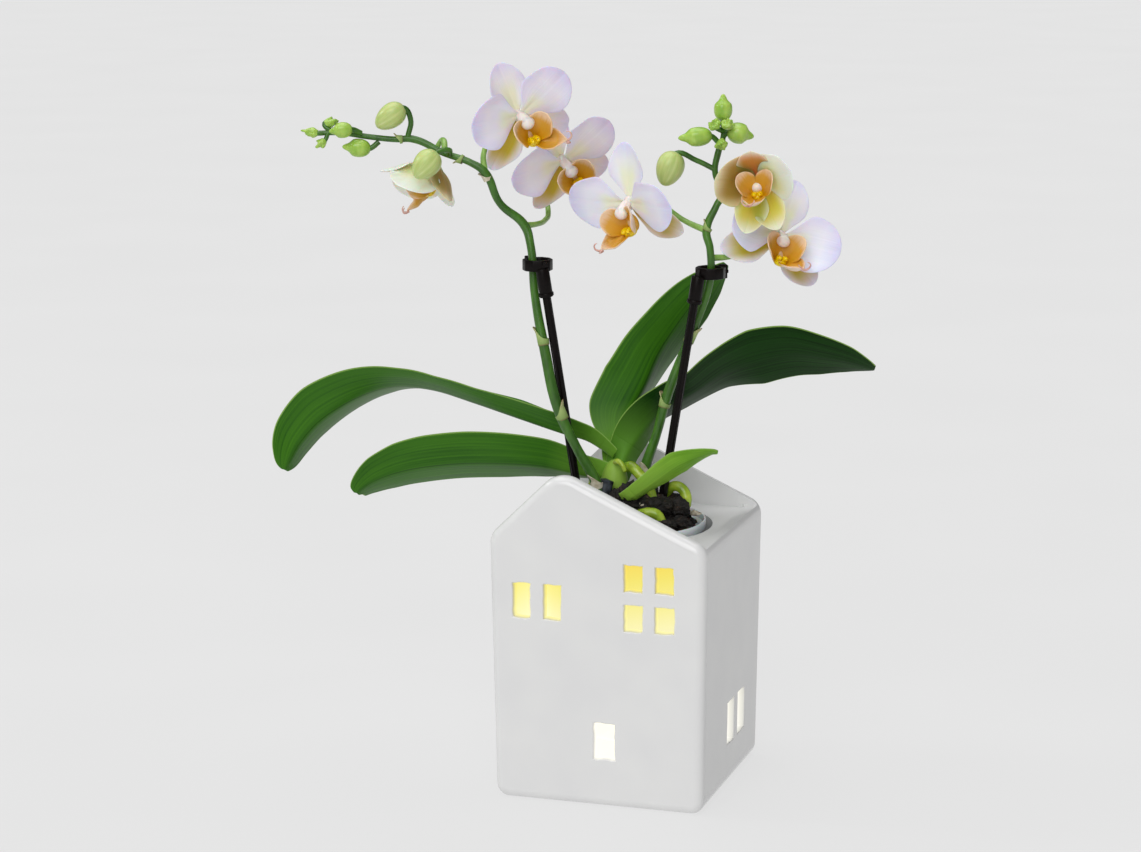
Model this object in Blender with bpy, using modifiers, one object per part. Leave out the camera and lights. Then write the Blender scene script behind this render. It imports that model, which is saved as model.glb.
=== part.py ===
"""Potted moth orchid in a house-shaped ceramic lantern pot, for Blender 4.5.

Metres, +Z up. The origin is the centre of the pot's flat underside, and the
gabled front of the house looks along -Y.
"""

import math
import random

import bmesh
import bpy
from mathutils import Matrix, Vector, noise

# Driving dimensions of the house pot.
HOUSE_WIDTH = 0.100
HOUSE_DEPTH = 0.100
EAVES_Z = 0.121
RIDGE_X = -0.018
RIDGE_Z = 0.152
DRAFT = 0.0018  # each side of the foot stands this much inside the eaves
WALL = 0.0055
FLOOR = 0.005
EDGE_ROUND = 0.004
FOOT_ROUND = 0.006
EAVES_ROUND = 0.008
RIDGE_ROUND = 0.012
DECK_Z = 0.119
DECK_THICKNESS = 0.005
WELL_TOP_RADIUS = 0.038
WELL_FLOOR_RADIUS = 0.0315
WELL_FLOOR_Z = 0.055
WELL_WALL = 0.0035
DOOR_WIDTH = 0.050
DOOR_TOP_Z = 0.047

# Windows cut through the front wall: left x, right x, bottom z, top z.
FRONT_WINDOWS = {
    "attic_left": (-0.0388, -0.0307, 0.0845, 0.1005),
    "attic_right": (-0.0246, -0.0165, 0.0845, 0.1005),
    "pane_low_left": (0.0125, 0.0210, 0.0820, 0.0940),
    "pane_low_right": (0.0268, 0.0354, 0.0820, 0.0940),
    "pane_high_left": (0.0125, 0.0210, 0.1000, 0.1120),
    "pane_high_right": (0.0268, 0.0354, 0.1000, 0.1120),
    "ground": (-0.0018, 0.0080, 0.0220, 0.0388),
}
# Windows cut through the right wall: front y, back y, bottom z, top z.
SIDE_WINDOWS = {
    "side_front": (-0.0070, 0.0050, 0.0205, 0.0400),
    "side_back": (0.0110, 0.0235, 0.0205, 0.0400),
}

# Inner pieces.
GAP = 0.0003  # clearance between two pieces that touch on the real plant
GROW_POT_RIM_RADIUS = 0.035
GROW_POT_TOP_RADIUS = 0.0335
GROW_POT_BASE_RADIUS = 0.0255
GROW_POT_RIM_Z = 0.1215
GROW_POT_LIP = 0.004
GROW_POT_WALL = 0.001
BARK_EDGE_Z = 0.1165
BARK_TOP_Z = 0.1310
TEALIGHT_RADIUS = 0.019
TEALIGHT_HEIGHT = 0.016

LEAF_THICKNESS = 0.0012
SHEATH_THICKNESS = 0.0020
TEPAL_THICKNESS = 0.0007
STEM_RADIUS = 0.0019
PEDICEL_RADIUS = 0.0012
STICK_RADIUS = 0.0019
ROOT_RADIUS = 0.0023
NECK_LENGTH = 0.0040  # from a bloom's centre back to the end of its neck

CROWN_CENTRE = (-0.0065, -0.0015, 0.1350)
CROWN_RADII = (0.0060, 0.0060, 0.0130)

# Each leaf: its midrib stations from the crown outwards, as (x, y, z), half width,
# azimuth and elevation of the upper face in degrees, and fold of each half in degrees.
# The blade starts at the station number given as joint; what lies before it is the
# sheath, which grows out of the crown.
LEAVES = {
    "leaf_1": {
        "joint": 0.62,
        "stations": (
            ((-0.007, -0.001, 0.149), 0.0070, 40, 58, 36),
            ((-0.018, -0.002, 0.156), 0.0100, 45, 58, 38),
            ((-0.030, -0.006, 0.160), 0.0130, 45, 62, 38),
            ((-0.051, -0.010, 0.167), 0.0150, 40, 68, 34),
            ((-0.069, -0.013, 0.173), 0.0165, 42, 68, 24),
            ((-0.087, -0.018, 0.179), 0.0180, 70, 68, 12),
            ((-0.103, -0.025, 0.181), 0.0190, 115, 62, 8),
            ((-0.117, -0.033, 0.177), 0.0200, 143, 44, 14),
            ((-0.131, -0.043, 0.168), 0.0185, 144, 25, 22),
            ((-0.139, -0.050, 0.158), 0.0150, 146, 17, 24),
            ((-0.1425, -0.0545, 0.150), 0.0090, 150, 14, 20),
            ((-0.144, -0.056, 0.146), 0.0020, 150, 14, 8),
        ),
    },
    "leaf_2": {
        "joint": 0.62,
        "stations": (
            ((-0.009, -0.002, 0.140), 0.0070, 95, 38, 36),
            ((-0.022, -0.003, 0.141), 0.0100, 95, 38, 30),
            ((-0.038, -0.005, 0.144), 0.0145, 97, 38, 20),
            ((-0.056, -0.009, 0.145), 0.0170, 103, 41, 16),
            ((-0.074, -0.014, 0.145), 0.0180, 113, 42, 15),
            ((-0.090, -0.022, 0.144), 0.0175, 123, 38, 15),
            ((-0.101, -0.028, 0.142), 0.0160, 131, 33, 15),
            ((-0.1095, -0.034, 0.139), 0.0130, 138, 30, 15),
            ((-0.1147, -0.038, 0.1355), 0.0085, 144, 30, 12),
            ((-0.1165, -0.039, 0.1335), 0.0020, 146, 30, 6),
        ),
    },
    "leaf_3": {
        "joint": 0.80,
        "stations": (
            ((-0.007, 0.001, 0.141), 0.0050, 146, 4, 36),
            ((-0.007, 0.012, 0.153), 0.0105, 146, 4, 42),
            ((-0.006, 0.018, 0.164), 0.0195, 146, 4, 42),
            ((0.000, 0.024, 0.178), 0.0205, 147, 2, 36),
            ((0.005, 0.029, 0.192), 0.0185, 148, 2, 22),
            ((0.012, 0.032, 0.204), 0.0165, 148, 4, 12),
            ((0.019, 0.036, 0.2145), 0.0140, 146, 6, 6),
            ((0.026, 0.040, 0.2235), 0.0100, 144, 8, 4),
            ((0.0335, 0.0425, 0.2325), 0.0020, 142, 10, 2),
        ),
    },
    "leaf_4": {
        "joint": 1.45,
        "stations": (
            ((-0.004, -0.003, 0.141), 0.0070, 108, -12, 40),
            ((-0.002, 0.002, 0.150), 0.0090, 118, 0, 35),
            ((0.004, 0.007, 0.160), 0.0120, 135, 15, 25),
            ((0.012, 0.014, 0.1695), 0.0140, 148, 32, 15),
            ((0.024, 0.022, 0.1765), 0.0170, 150, 40, 8),
            ((0.037, 0.027, 0.186), 0.0195, 138, 41, 4),
            ((0.051, 0.031, 0.1915), 0.0200, 118, 38, 3),
            ((0.066, 0.034, 0.1945), 0.0190, 103, 44, 3),
            ((0.080, 0.035, 0.1935), 0.0160, 92, 47, 3),
            ((0.093, 0.037, 0.1915), 0.0110, 84, 47, 4),
            ((0.104, 0.039, 0.1885), 0.0025, 80, 47, 2),
        ),
    },
    "leaf_5": {
        "joint": 1.50,
        "stations": (
            ((-0.005, -0.005, 0.132), 0.0040, 118, 30, 20),
            ((0.003, -0.014, 0.133), 0.0045, 121, 30, 20),
            ((0.012, -0.014, 0.139), 0.0062, 126, 35, 18),
            ((0.020, -0.012, 0.145), 0.0075, 121, 33, 16),
            ((0.027, -0.012, 0.150), 0.0075, 116, 31, 16),
            ((0.035, -0.011, 0.154), 0.0060, 122, 46, 10),
            ((0.041, -0.010, 0.156), 0.0040, 120, 58, 6),
            ((0.044, -0.009, 0.156), 0.0014, 118, 60, 2),
        ),
    },
}

# Thick aerial roots that leave the crown and turn down into the bark.
ROOTS = (
    ((-0.006, -0.005, 0.140), (-0.003, -0.010, 0.145), (0.001, -0.0125, 0.144), (0.002, -0.0135, 0.135)),
    ((-0.004, -0.002, 0.142), (0.003, -0.0065, 0.147), (0.008, -0.0065, 0.1455), (0.011, -0.0055, 0.140), (0.0112, -0.0052, 0.124)),
    ((-0.004, 0.002, 0.136), (0.003, 0.0075, 0.137), (0.010, 0.009, 0.138), (0.019, 0.007, 0.138), (0.025, 0.005, 0.134), (0.027, 0.004, 0.120)),
    ((-0.003, -0.003, 0.127), (0.004, -0.010, 0.1265), (0.011, -0.013, 0.1275), (0.0165, -0.0135, 0.1265), (0.0185, -0.0135, 0.117)),
)

# Each bloom: centre, the way it faces as azimuth and elevation, its roll seen from
# the front, then how high and how far forward its petals and lateral sepals stand,
# and how far its lip is set forward.
BLOOMS = {
    "bloom_1": {"centre": (-0.086, -0.018, 0.283), "facing": (-136, -62), "roll": 29,
                "petal": (16, 50), "lateral": (-46, 38), "dorsal": 38, "size": 0.92, "lip": 0.0030},
    "bloom_2": {"centre": (-0.0435, -0.0225, 0.3047), "facing": (-45, -12), "roll": 28,
                "petal": (24, 22), "lateral": (-38, -6), "dorsal": 0, "size": 1.0, "lip": 0.0},
    "bloom_3": {"centre": (-0.034, 0.010, 0.2815), "facing": (-43, -25), "roll": 32,
                "petal": (20, 14), "lateral": (-44, -6), "dorsal": -8, "size": 1.0, "lip": 0.0},
    "bloom_4": {"centre": (0.002, -0.006, 0.266), "facing": (-106, -22), "roll": 0,
                "petal": (6, 20), "lateral": (-32, -8), "dorsal": -14, "size": 1.0, "lip": 0.0},
    "bloom_5": {"centre": (0.0636, 0.0226, 0.2492), "facing": (-61, 4), "roll": -22,
                "petal": (5, 26), "lateral": (-28, -4), "dorsal": -14, "size": 1.0, "lip": 0.0},
    "bloom_6": {"centre": (0.0567, 0.0085, 0.2757), "facing": (-80, -6), "roll": 8,
                "petal": (20, 52), "lateral": (-68, 34), "dorsal": 46, "size": 0.92, "lip": 0.0030},
}

# Each flower spike: its main stem, then what branches off it. A pedicel route starts
# on the stem; its last two points are worked out from the bloom it carries.
SPIKES = {
    "spike_left": {
        "stem": (
            (-0.009, -0.013, 0.125), (-0.010, -0.016, 0.139), (-0.018, -0.021, 0.157), (-0.026, -0.023, 0.175),
            (-0.0322, -0.022, 0.200), (-0.0374, -0.020, 0.225), (-0.040, -0.018, 0.247),
            (-0.043, -0.017, 0.255), (-0.053, -0.021, 0.265), (-0.059, -0.024, 0.279),
            (-0.065, -0.025, 0.283), (-0.077, -0.026, 0.287), (-0.091, -0.028, 0.293),
            (-0.098, -0.031, 0.293), (-0.108, -0.034, 0.294), (-0.121, -0.039, 0.296),
            (-0.130, -0.042, 0.296),
        ),
        "pedicels": {
            "bloom_1": ((-0.077, -0.026, 0.287), (-0.080, -0.019, 0.292)),
            "bloom_2": ((-0.059, -0.024, 0.279), (-0.061, -0.019, 0.287), (-0.058, -0.013, 0.296), (-0.053, -0.0125, 0.303)),
            "bloom_3": ((-0.043, -0.017, 0.255), (-0.0405, -0.008, 0.2545), (-0.041, 0.006, 0.2545), (-0.044, 0.0195, 0.257), (-0.047, 0.024, 0.266), (-0.044, 0.022, 0.276)),
        },
        # A bud: route of its stalk, the bud's tip, and its radius.
        "buds": (
            (((-0.075, -0.026, 0.286), (-0.073, -0.031, 0.289), (-0.077, -0.037, 0.288)), (-0.086, -0.041, 0.277), 0.0063),
            (((-0.093, -0.029, 0.294), (-0.092, -0.028, 0.302), (-0.095, -0.030, 0.307)), (-0.107, -0.033, 0.298), 0.0058),
            (((-0.105, -0.033, 0.292), (-0.109, -0.035, 0.289)), (-0.121, -0.039, 0.290), 0.0042),
            (((-0.112, -0.037, 0.296), (-0.115, -0.041, 0.298)), (-0.125, -0.044, 0.297), 0.0036),
            (((-0.124, -0.040, 0.296), (-0.128, -0.040, 0.300)), (-0.122, -0.036, 0.301), 0.0022),
            (((-0.128, -0.042, 0.296), (-0.130, -0.043, 0.296)), (-0.137, -0.044, 0.297), 0.0022),
            (((-0.126, -0.041, 0.296), (-0.127, -0.042, 0.293)), (-0.131, -0.044, 0.289), 0.0020),
        ),
        # Stem stations, as a share of its length, where a small bract clasps it.
        "bracts": (0.115, 0.265, 0.43, 0.60, 0.735),
    },
    "spike_right": {
        "stem": (
            (0.004, 0.002, 0.122), (0.006, 0.002, 0.140), (0.0125, 0.003, 0.161), (0.0165, 0.0035, 0.1765),
            (0.0220, 0.006, 0.1925), (0.0285, 0.008, 0.2095), (0.035, 0.009, 0.230),
            (0.035, 0.009, 0.244), (0.033, 0.010, 0.252), (0.037, 0.012, 0.263),
            (0.039, 0.014, 0.268), (0.036, 0.013, 0.278), (0.037, 0.014, 0.286),
            (0.039, 0.015, 0.293), (0.039, 0.015, 0.301),
        ),
        "pedicels": {
            "bloom_4": ((0.033, 0.010, 0.252), (0.022, 0.012, 0.256), (0.011, 0.009, 0.264)),
            "bloom_5": ((0.035, 0.009, 0.240), (0.043, 0.018, 0.240), (0.054, 0.029, 0.245)),
            "bloom_6": ((0.038, 0.014, 0.268), (0.046, 0.016, 0.267), (0.053, 0.018, 0.271)),
        },
        "buds": (
            (((0.036, 0.013, 0.279), (0.028, 0.011, 0.283), (0.019, 0.008, 0.286)), (0.014, 0.006, 0.271), 0.0066),
            (((0.038, 0.014, 0.290), (0.034, 0.012, 0.294)), (0.020, 0.006, 0.293), 0.0044),
            (((0.039, 0.015, 0.298), (0.039, 0.015, 0.301)), (0.039, 0.015, 0.313), 0.0042),
            (((0.039, 0.015, 0.293), (0.0415, 0.0155, 0.296)), (0.0525, 0.020, 0.293), 0.0048),
            (((0.039, 0.014, 0.296), (0.037, 0.010, 0.298)), (0.036, 0.007, 0.301), 0.0027),
            (((0.039, 0.014, 0.296), (0.042, 0.011, 0.298)), (0.043, 0.008, 0.302), 0.0027),
            (((0.039, 0.015, 0.292), (0.040, 0.010, 0.291)), (0.040, 0.006, 0.290), 0.0027),
        ),
        "bracts": (0.115, 0.30, 0.46),
    },
}

# Support sticks: where each meets the bark, and its top; then its clip's ring.
STICKS = {
    "left": {"foot": (-0.0195, -0.0150, 0.136), "top": (-0.0325, -0.0215, 0.231),
             "ring": (-0.0367, -0.0180, 0.238)},
    "right": {"foot": (0.0165, -0.0010, 0.134), "top": (0.0305, 0.0030, 0.227),
              "ring": (0.0352, 0.0090, 0.2335)},
}
STICK_BURIED_Z = 0.085
RING_OUTER_RADIUS = 0.0068
RING_INNER_RADIUS = 0.0050
RING_HEIGHT = 0.005


def clear_scene():
    for old in list(bpy.data.objects):
        bpy.data.objects.remove(old, do_unlink=True)


def new_collection(name):
    made = bpy.data.collections.new(name)
    bpy.context.scene.collection.children.link(made)
    return made


clear_scene()
PARTS = new_collection("potted_moth_orchid")
CUTTERS = new_collection("cutters")


def glossy(name, colour, roughness, metallic=0.0, alpha=1.0):
    """A Principled material of one colour, named for the piece that wears it."""
    made = bpy.data.materials.new(name)
    made.use_nodes = True
    shader = made.node_tree.nodes["Principled BSDF"]
    shader.inputs["Base Color"].default_value = (*colour, 1.0)
    shader.inputs["Roughness"].default_value = roughness
    shader.inputs["Metallic"].default_value = metallic
    shader.inputs["Alpha"].default_value = alpha
    return made


def place(name, mesh, collection=None):
    made = bpy.data.objects.new(name, mesh)
    (collection or PARTS).objects.link(made)
    return made


def from_bmesh(name, shape, collection=None):
    bmesh.ops.recalc_face_normals(shape, faces=shape.faces)
    mesh = bpy.data.meshes.new(name)
    shape.to_mesh(mesh)
    shape.free()
    return place(name, mesh, collection)


def settle(obj, collection=None):
    """Replaces an object by the mesh that its modifiers or its curve make, with the caps welded."""
    graph = bpy.context.evaluated_depsgraph_get()
    graph.update()
    mesh = bpy.data.meshes.new_from_object(obj.evaluated_get(graph))
    name = obj.name
    matrix = obj.matrix_world.copy()
    bpy.data.objects.remove(obj, do_unlink=True)
    shape = bmesh.new()
    shape.from_mesh(mesh)
    bmesh.ops.remove_doubles(shape, verts=shape.verts, dist=1e-6)
    bmesh.ops.transform(shape, matrix=matrix, verts=shape.verts)
    bmesh.ops.recalc_face_normals(shape, faces=shape.faces)
    shape.to_mesh(mesh)
    shape.free()
    mesh.name = name
    return place(name, mesh, collection)


def fuse(name, pieces):
    """One closed body from overlapping pieces."""
    group = bpy.data.collections.new(name + "_pieces")
    for piece in pieces[1:]:
        group.objects.link(piece)
    union = pieces[0].modifiers.new("Fuse", "BOOLEAN")
    union.operation = "UNION"
    union.operand_type = "COLLECTION"
    union.collection = group
    union.solver = "EXACT"
    body = settle(pieces[0])
    for piece in pieces[1:]:
        bpy.data.objects.remove(piece, do_unlink=True)
    bpy.data.collections.remove(group)
    body.name = name
    body.data.name = name
    return body


def bore(name, start, end, radius, sides=12):
    """A round cutter whose flats, not its corners, lie at the radius."""
    return rod(name, start, end, radius / math.cos(math.pi / sides), None, sides, CUTTERS)


def cut(obj, cutter):
    """Adds a Boolean difference, and hides its cutter."""
    cutter.hide_render = True
    cutter.display_type = "WIRE"
    boolean = obj.modifiers.new("Cut " + cutter.name, "BOOLEAN")
    boolean.operation = "DIFFERENCE"
    boolean.object = cutter
    boolean.solver = "EXACT"


def finish(obj, material, angle=40):
    obj.data.materials.clear()
    obj.data.materials.append(material)
    obj.data.shade_smooth()
    obj.data.set_sharp_from_angle(angle=math.radians(angle))
    return obj


def box(name, low, high, collection=None):
    shape = bmesh.new()
    bmesh.ops.create_cube(shape, size=1.0)
    low, high = Vector(low), Vector(high)
    for vertex in shape.verts:
        vertex.co = Vector((low[i] + (vertex.co[i] + 0.5) * (high[i] - low[i]) for i in range(3)))
    return from_bmesh(name, shape, collection)


def rod(name, start, end, radius, end_radius=None, sides=12, collection=None):
    """A straight cylinder or cone between two points."""
    start, end = Vector(start), Vector(end)
    shape = bmesh.new()
    bmesh.ops.create_cone(shape, cap_ends=True, segments=sides, radius1=radius,
                          radius2=radius if end_radius is None else end_radius, depth=(end - start).length)
    turn = (end - start).to_track_quat("Z", "Y").to_matrix().to_4x4()
    bmesh.ops.transform(shape, matrix=Matrix.Translation((start + end) / 2) @ turn, verts=shape.verts)
    return from_bmesh(name, shape, collection)


def tube(name, route, radii, sides_level=1, steps=2, collection=None):
    """A round tube along a smooth curve through the route, as a mesh with welded caps."""
    data = bpy.data.curves.new(name, "CURVE")
    data.dimensions = "3D"
    data.bevel_depth = 1.0
    data.bevel_resolution = sides_level
    data.use_fill_caps = True
    data.resolution_u = steps
    spline = data.splines.new("BEZIER")
    spline.bezier_points.add(len(route) - 1)
    for knot, point, radius in zip(spline.bezier_points, route, radii):
        knot.co = point
        knot.radius = radius
        knot.handle_left_type = "AUTO"
        knot.handle_right_type = "AUTO"
    made = bpy.data.objects.new(name, data)
    PARTS.objects.link(made)
    return settle(made, collection)


def turned(name, profile, steps, collection=None):
    """A solid of revolution round Z, from a profile of (radius, height) that runs from the
    top of its outer side down and round."""
    shape = bmesh.new()
    loop = [shape.verts.new((radius, 0.0, height)) for radius, height in profile]
    for a, b in zip(loop, loop[1:]):
        shape.edges.new((a, b))
    if profile[0][0] > 0:
        shape.edges.new((loop[-1], loop[0]))
    mesh = bpy.data.meshes.new(name)
    shape.to_mesh(mesh)
    shape.free()
    made = place(name, mesh)
    screw = made.modifiers.new("Turn", "SCREW")
    screw.steps = steps
    screw.render_steps = steps
    screw.use_merge_vertices = True
    screw.merge_threshold = 1e-6
    return settle(made, collection)


def moved(obj, matrix):
    obj.data.transform(matrix)
    return obj


def direction(azimuth, elevation):
    a, e = math.radians(azimuth), math.radians(elevation)
    return Vector((math.cos(e) * math.cos(a), math.cos(e) * math.sin(a), math.sin(e)))


def rounded_outline(corners, arc_steps=4):
    """A closed outline with each corner replaced by an arc of its own radius."""
    points = []
    count = len(corners)
    for i, (corner, radius) in enumerate(corners):
        corner = Vector(corner)
        to_last = (Vector(corners[i - 1][0]) - corner).normalized()
        to_next = (Vector(corners[(i + 1) % count][0]) - corner).normalized()
        half = to_last.angle(to_next) / 2
        centre = corner + (to_last + to_next).normalized() * (radius / math.sin(half))
        first = corner + to_last * (radius / math.tan(half)) - centre
        last = corner + to_next * (radius / math.tan(half)) - centre
        for step in range(arc_steps + 1):
            spoke = first.lerp(last, step / arc_steps).normalized() * radius
            # Equal steps along the arc, not along its chord.
            turn = first.angle_signed(last) * step / arc_steps
            spoke = Matrix.Rotation(-turn, 2) @ first
            points.append(centre + spoke)
    return points


def taper(obj):
    """Draws the sides in towards the foot, as a cast pot that leaves its mould."""
    for vertex in obj.data.vertices:
        drawn = 1 - (DRAFT / (HOUSE_WIDTH / 2)) * max(0.0, 1 - vertex.co.z / EAVES_Z)
        vertex.co.x *= drawn
        vertex.co.y *= drawn
    return obj


def house_shell():
    """The outer form: the gabled front outline run through from front to back, with rounded edges."""
    half = HOUSE_WIDTH / 2
    corners = (
        ((-half, 0.0), FOOT_ROUND),
        ((half, 0.0), FOOT_ROUND),
        ((half, EAVES_Z), EAVES_ROUND),
        ((RIDGE_X, RIDGE_Z), RIDGE_ROUND),
        ((-half, EAVES_Z), EAVES_ROUND),
    )
    data = bpy.data.curves.new("house_outline", "CURVE")
    data.dimensions = "2D"
    data.fill_mode = "BOTH"
    data.extrude = HOUSE_DEPTH / 2 - EDGE_ROUND
    data.bevel_depth = EDGE_ROUND
    data.bevel_resolution = 1
    data.offset = -EDGE_ROUND
    outline = rounded_outline(corners)
    spline = data.splines.new("POLY")
    spline.points.add(len(outline) - 1)
    for knot, point in zip(spline.points, outline):
        knot.co = (point.x, point.y, 0.0, 1.0)
    spline.use_cyclic_u = True
    shell = bpy.data.objects.new("house_pot", data)
    shell.rotation_euler = (math.pi / 2, 0.0, 0.0)
    PARTS.objects.link(shell)
    bpy.context.view_layer.update()
    return taper(settle(shell))


def window_cutters(chance):
    """Hand-cut openings: each corner strays a little from the square."""
    stray = 0.0003
    through = 0.016
    made = []
    for label, (left, right, bottom, top) in FRONT_WINDOWS.items():
        front = -HOUSE_DEPTH / 2 - 0.004
        made.append(box("cutter_" + label, (left, front, bottom), (right, front + through, top), CUTTERS))
    for label, (near, far, bottom, top) in SIDE_WINDOWS.items():
        side = HOUSE_WIDTH / 2 + 0.004
        made.append(box("cutter_" + label, (side - through, near, bottom), (side, far, top), CUTTERS))
    for cutter in made:
        for vertex in cutter.data.vertices:
            vertex.co.x += chance.uniform(-stray, stray)
            vertex.co.z += chance.uniform(-stray, stray)
    return made


def chamber_cutter():
    """The lantern chamber under the deck: all that is not wall, floor or the cup that hangs in it."""
    half = HOUSE_WIDTH / 2 - WALL
    chamber = box("cutter_chamber", (-half, -half, FLOOR), (half, half, DECK_Z - DECK_THICKNESS), CUTTERS)
    taper(chamber)
    cup = rod("cutter_cup", (0, 0, WELL_FLOOR_Z - WELL_WALL - 0.0005), (0, 0, DECK_Z + 0.004),
              WELL_FLOOR_RADIUS + WELL_WALL, WELL_TOP_RADIUS + WELL_WALL, 32, CUTTERS)
    cut(chamber, cup)
    return chamber


def make_house(chance):
    pot = house_shell()
    gable_inside = HOUSE_DEPTH / 2 - WALL
    high = RIDGE_Z + 0.02
    roof_void = box("cutter_roof_void", (-0.07, -gable_inside, EAVES_Z - 0.0006), (0.07, gable_inside, high), CUTTERS)
    deck_side = HOUSE_WIDTH / 2 - 0.0065
    deck = box("cutter_deck", (-deck_side, -gable_inside - 0.0002, DECK_Z), (deck_side, gable_inside + 0.0002, high), CUTTERS)
    well = rod("cutter_well", (0, 0, WELL_FLOOR_Z), (0, 0, DECK_Z + 0.006),
               WELL_FLOOR_RADIUS, WELL_TOP_RADIUS + 0.0006, 32, CUTTERS)
    door = box("cutter_door", (-DOOR_WIDTH / 2, HOUSE_DEPTH / 2 - WALL - 0.004, FLOOR),
               (DOOR_WIDTH / 2, HOUSE_DEPTH / 2 + 0.004, DOOR_TOP_Z), CUTTERS)
    for cutter in (roof_void, deck, chamber_cutter(), well, door, *window_cutters(chance)):
        cut(pot, cutter)
    pot = settle(pot)
    return finish(pot, glossy("white_glaze", (0.86, 0.86, 0.85), 0.15))


def make_tealight():
    base_z = FLOOR + GAP
    top_z = base_z + TEALIGHT_HEIGHT
    body = turned("tealight_body", (
        (TEALIGHT_RADIUS - 0.001, top_z), (TEALIGHT_RADIUS, top_z - 0.001), (TEALIGHT_RADIUS, base_z + 0.001),
        (TEALIGHT_RADIUS - 0.001, base_z), (0.0, base_z), (0.0, top_z - 0.004),
        (0.0035, top_z - 0.004), (0.0035, top_z - 0.0015), (TEALIGHT_RADIUS - 0.003, top_z - 0.0015),
    ), 24)
    finish(body, glossy("candle_plastic", (0.88, 0.86, 0.80), 0.4))
    flame_z = top_z - 0.004 + GAP
    flame = turned("tealight_flame", (
        (0.0, flame_z + 0.015), (0.0012, flame_z + 0.0115), (0.0028, flame_z + 0.007),
        (0.0030, flame_z + 0.005), (0.0030, flame_z), (0.0, flame_z),
    ), 12)
    finish(flame, glossy("lamp_flame", (1.0, 0.72, 0.32), 0.3))


def make_grow_pot():
    base_z = WELL_FLOOR_Z + GAP
    lip_z = GROW_POT_RIM_Z - GROW_POT_LIP
    wall = GROW_POT_WALL
    pot = turned("grow_pot", (
        (GROW_POT_RIM_RADIUS, GROW_POT_RIM_Z), (GROW_POT_RIM_RADIUS, lip_z), (GROW_POT_TOP_RADIUS, lip_z - 0.0006),
        (GROW_POT_BASE_RADIUS, base_z), (0.006, base_z), (0.006, base_z + wall),
        (GROW_POT_BASE_RADIUS - wall, base_z + wall), (GROW_POT_TOP_RADIUS - wall, lip_z),
        (GROW_POT_RIM_RADIUS - wall, GROW_POT_RIM_Z),
    ), 32)
    finish(pot, glossy("clear_plastic", (0.80, 0.87, 0.90), 0.25, alpha=0.6))


def bark_radius(z):
    """The inside of the grow pot at a height, less the gap."""
    base_z = WELL_FLOOR_Z + GAP + GROW_POT_WALL
    share = (z - base_z) / (GROW_POT_RIM_Z - GROW_POT_LIP - base_z)
    inner = GROW_POT_BASE_RADIUS + share * (GROW_POT_TOP_RADIUS - GROW_POT_BASE_RADIUS) - GROW_POT_WALL
    return inner - GAP * 1.5


def make_bark():
    """The bark mix: a plug that fills the grow pot, with a lumpy mound on top and plain holes for the stems."""
    low = WELL_FLOOR_Z + GAP * 2 + GROW_POT_WALL
    profile = [(0.0, BARK_TOP_Z)]
    rings = 5
    for ring in range(1, rings + 1):
        share = ring / rings
        profile.append((bark_radius(BARK_EDGE_Z) * share, BARK_TOP_Z - (BARK_TOP_Z - BARK_EDGE_Z) * share ** 2.2))
    profile += [(bark_radius(low), low), (0.0, low)]
    bark = turned("bark_mix", profile, 28)
    for vertex in bark.data.vertices:
        spread = Vector((vertex.co.x, vertex.co.y, 0.0)).length
        if vertex.co.z > BARK_EDGE_Z - 0.001 and spread < bark_radius(BARK_EDGE_Z) - 0.001:
            vertex.co.z += 0.0022 * noise.noise(vertex.co * 160.0)
    for label, stick in STICKS.items():
        foot, top = Vector(stick["foot"]), Vector(stick["top"])
        along = (top - foot).normalized()
        start = foot + along * (STICK_BURIED_Z - GAP - foot.z) / along.z
        cut(bark, bore("cutter_hole_stick_" + label, start, foot + along * 0.02, STICK_RADIUS + GAP))
    for name, spike in SPIKES.items():
        start, end = Vector(spike["stem"][0]), Vector(spike["stem"][1])
        deep = start - (end - start).normalized() * 2 * GAP
        cut(bark, bore("cutter_hole_" + name, deep, end + (end - start) * 0.5, STEM_RADIUS * 1.25 + GAP))
    hollow = crown_body("cutter_crown", 2.5 * GAP, CUTTERS)
    cut(bark, hollow)
    for number, route in enumerate(ROOTS):
        cut(bark, root_tube("cutter_root_%d" % number, route, 2 * GAP, CUTTERS))
    cut(bark, leaf_sheath("leaf_5", 4 * GAP, CUTTERS))
    bark = settle(bark)
    finish(bark, glossy("dark_bark", (0.045, 0.028, 0.018), 0.9), 60)


def crown_body(name, grow=0.0, collection=None):
    """The short upright stem that the leaves clasp."""
    shape = bmesh.new()
    bmesh.ops.create_uvsphere(shape, u_segments=12, v_segments=8, radius=1.0)
    for vertex in shape.verts:
        vertex.co = Vector(vertex.co[i] * (CROWN_RADII[i] + grow) + CROWN_CENTRE[i] for i in range(3))
    return from_bmesh(name, shape, collection)


def root_tube(name, route, grow=0.0, collection=None):
    """An aerial root; a grown copy, a little longer, cuts the hole that it stands in."""
    last, end = Vector(route[-2]), Vector(route[-1])
    points = [*route[:-1], end + (end - last).normalized() * grow]
    return tube(name, points, [ROOT_RADIUS + grow] * len(points), 1, 2, collection)


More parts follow.
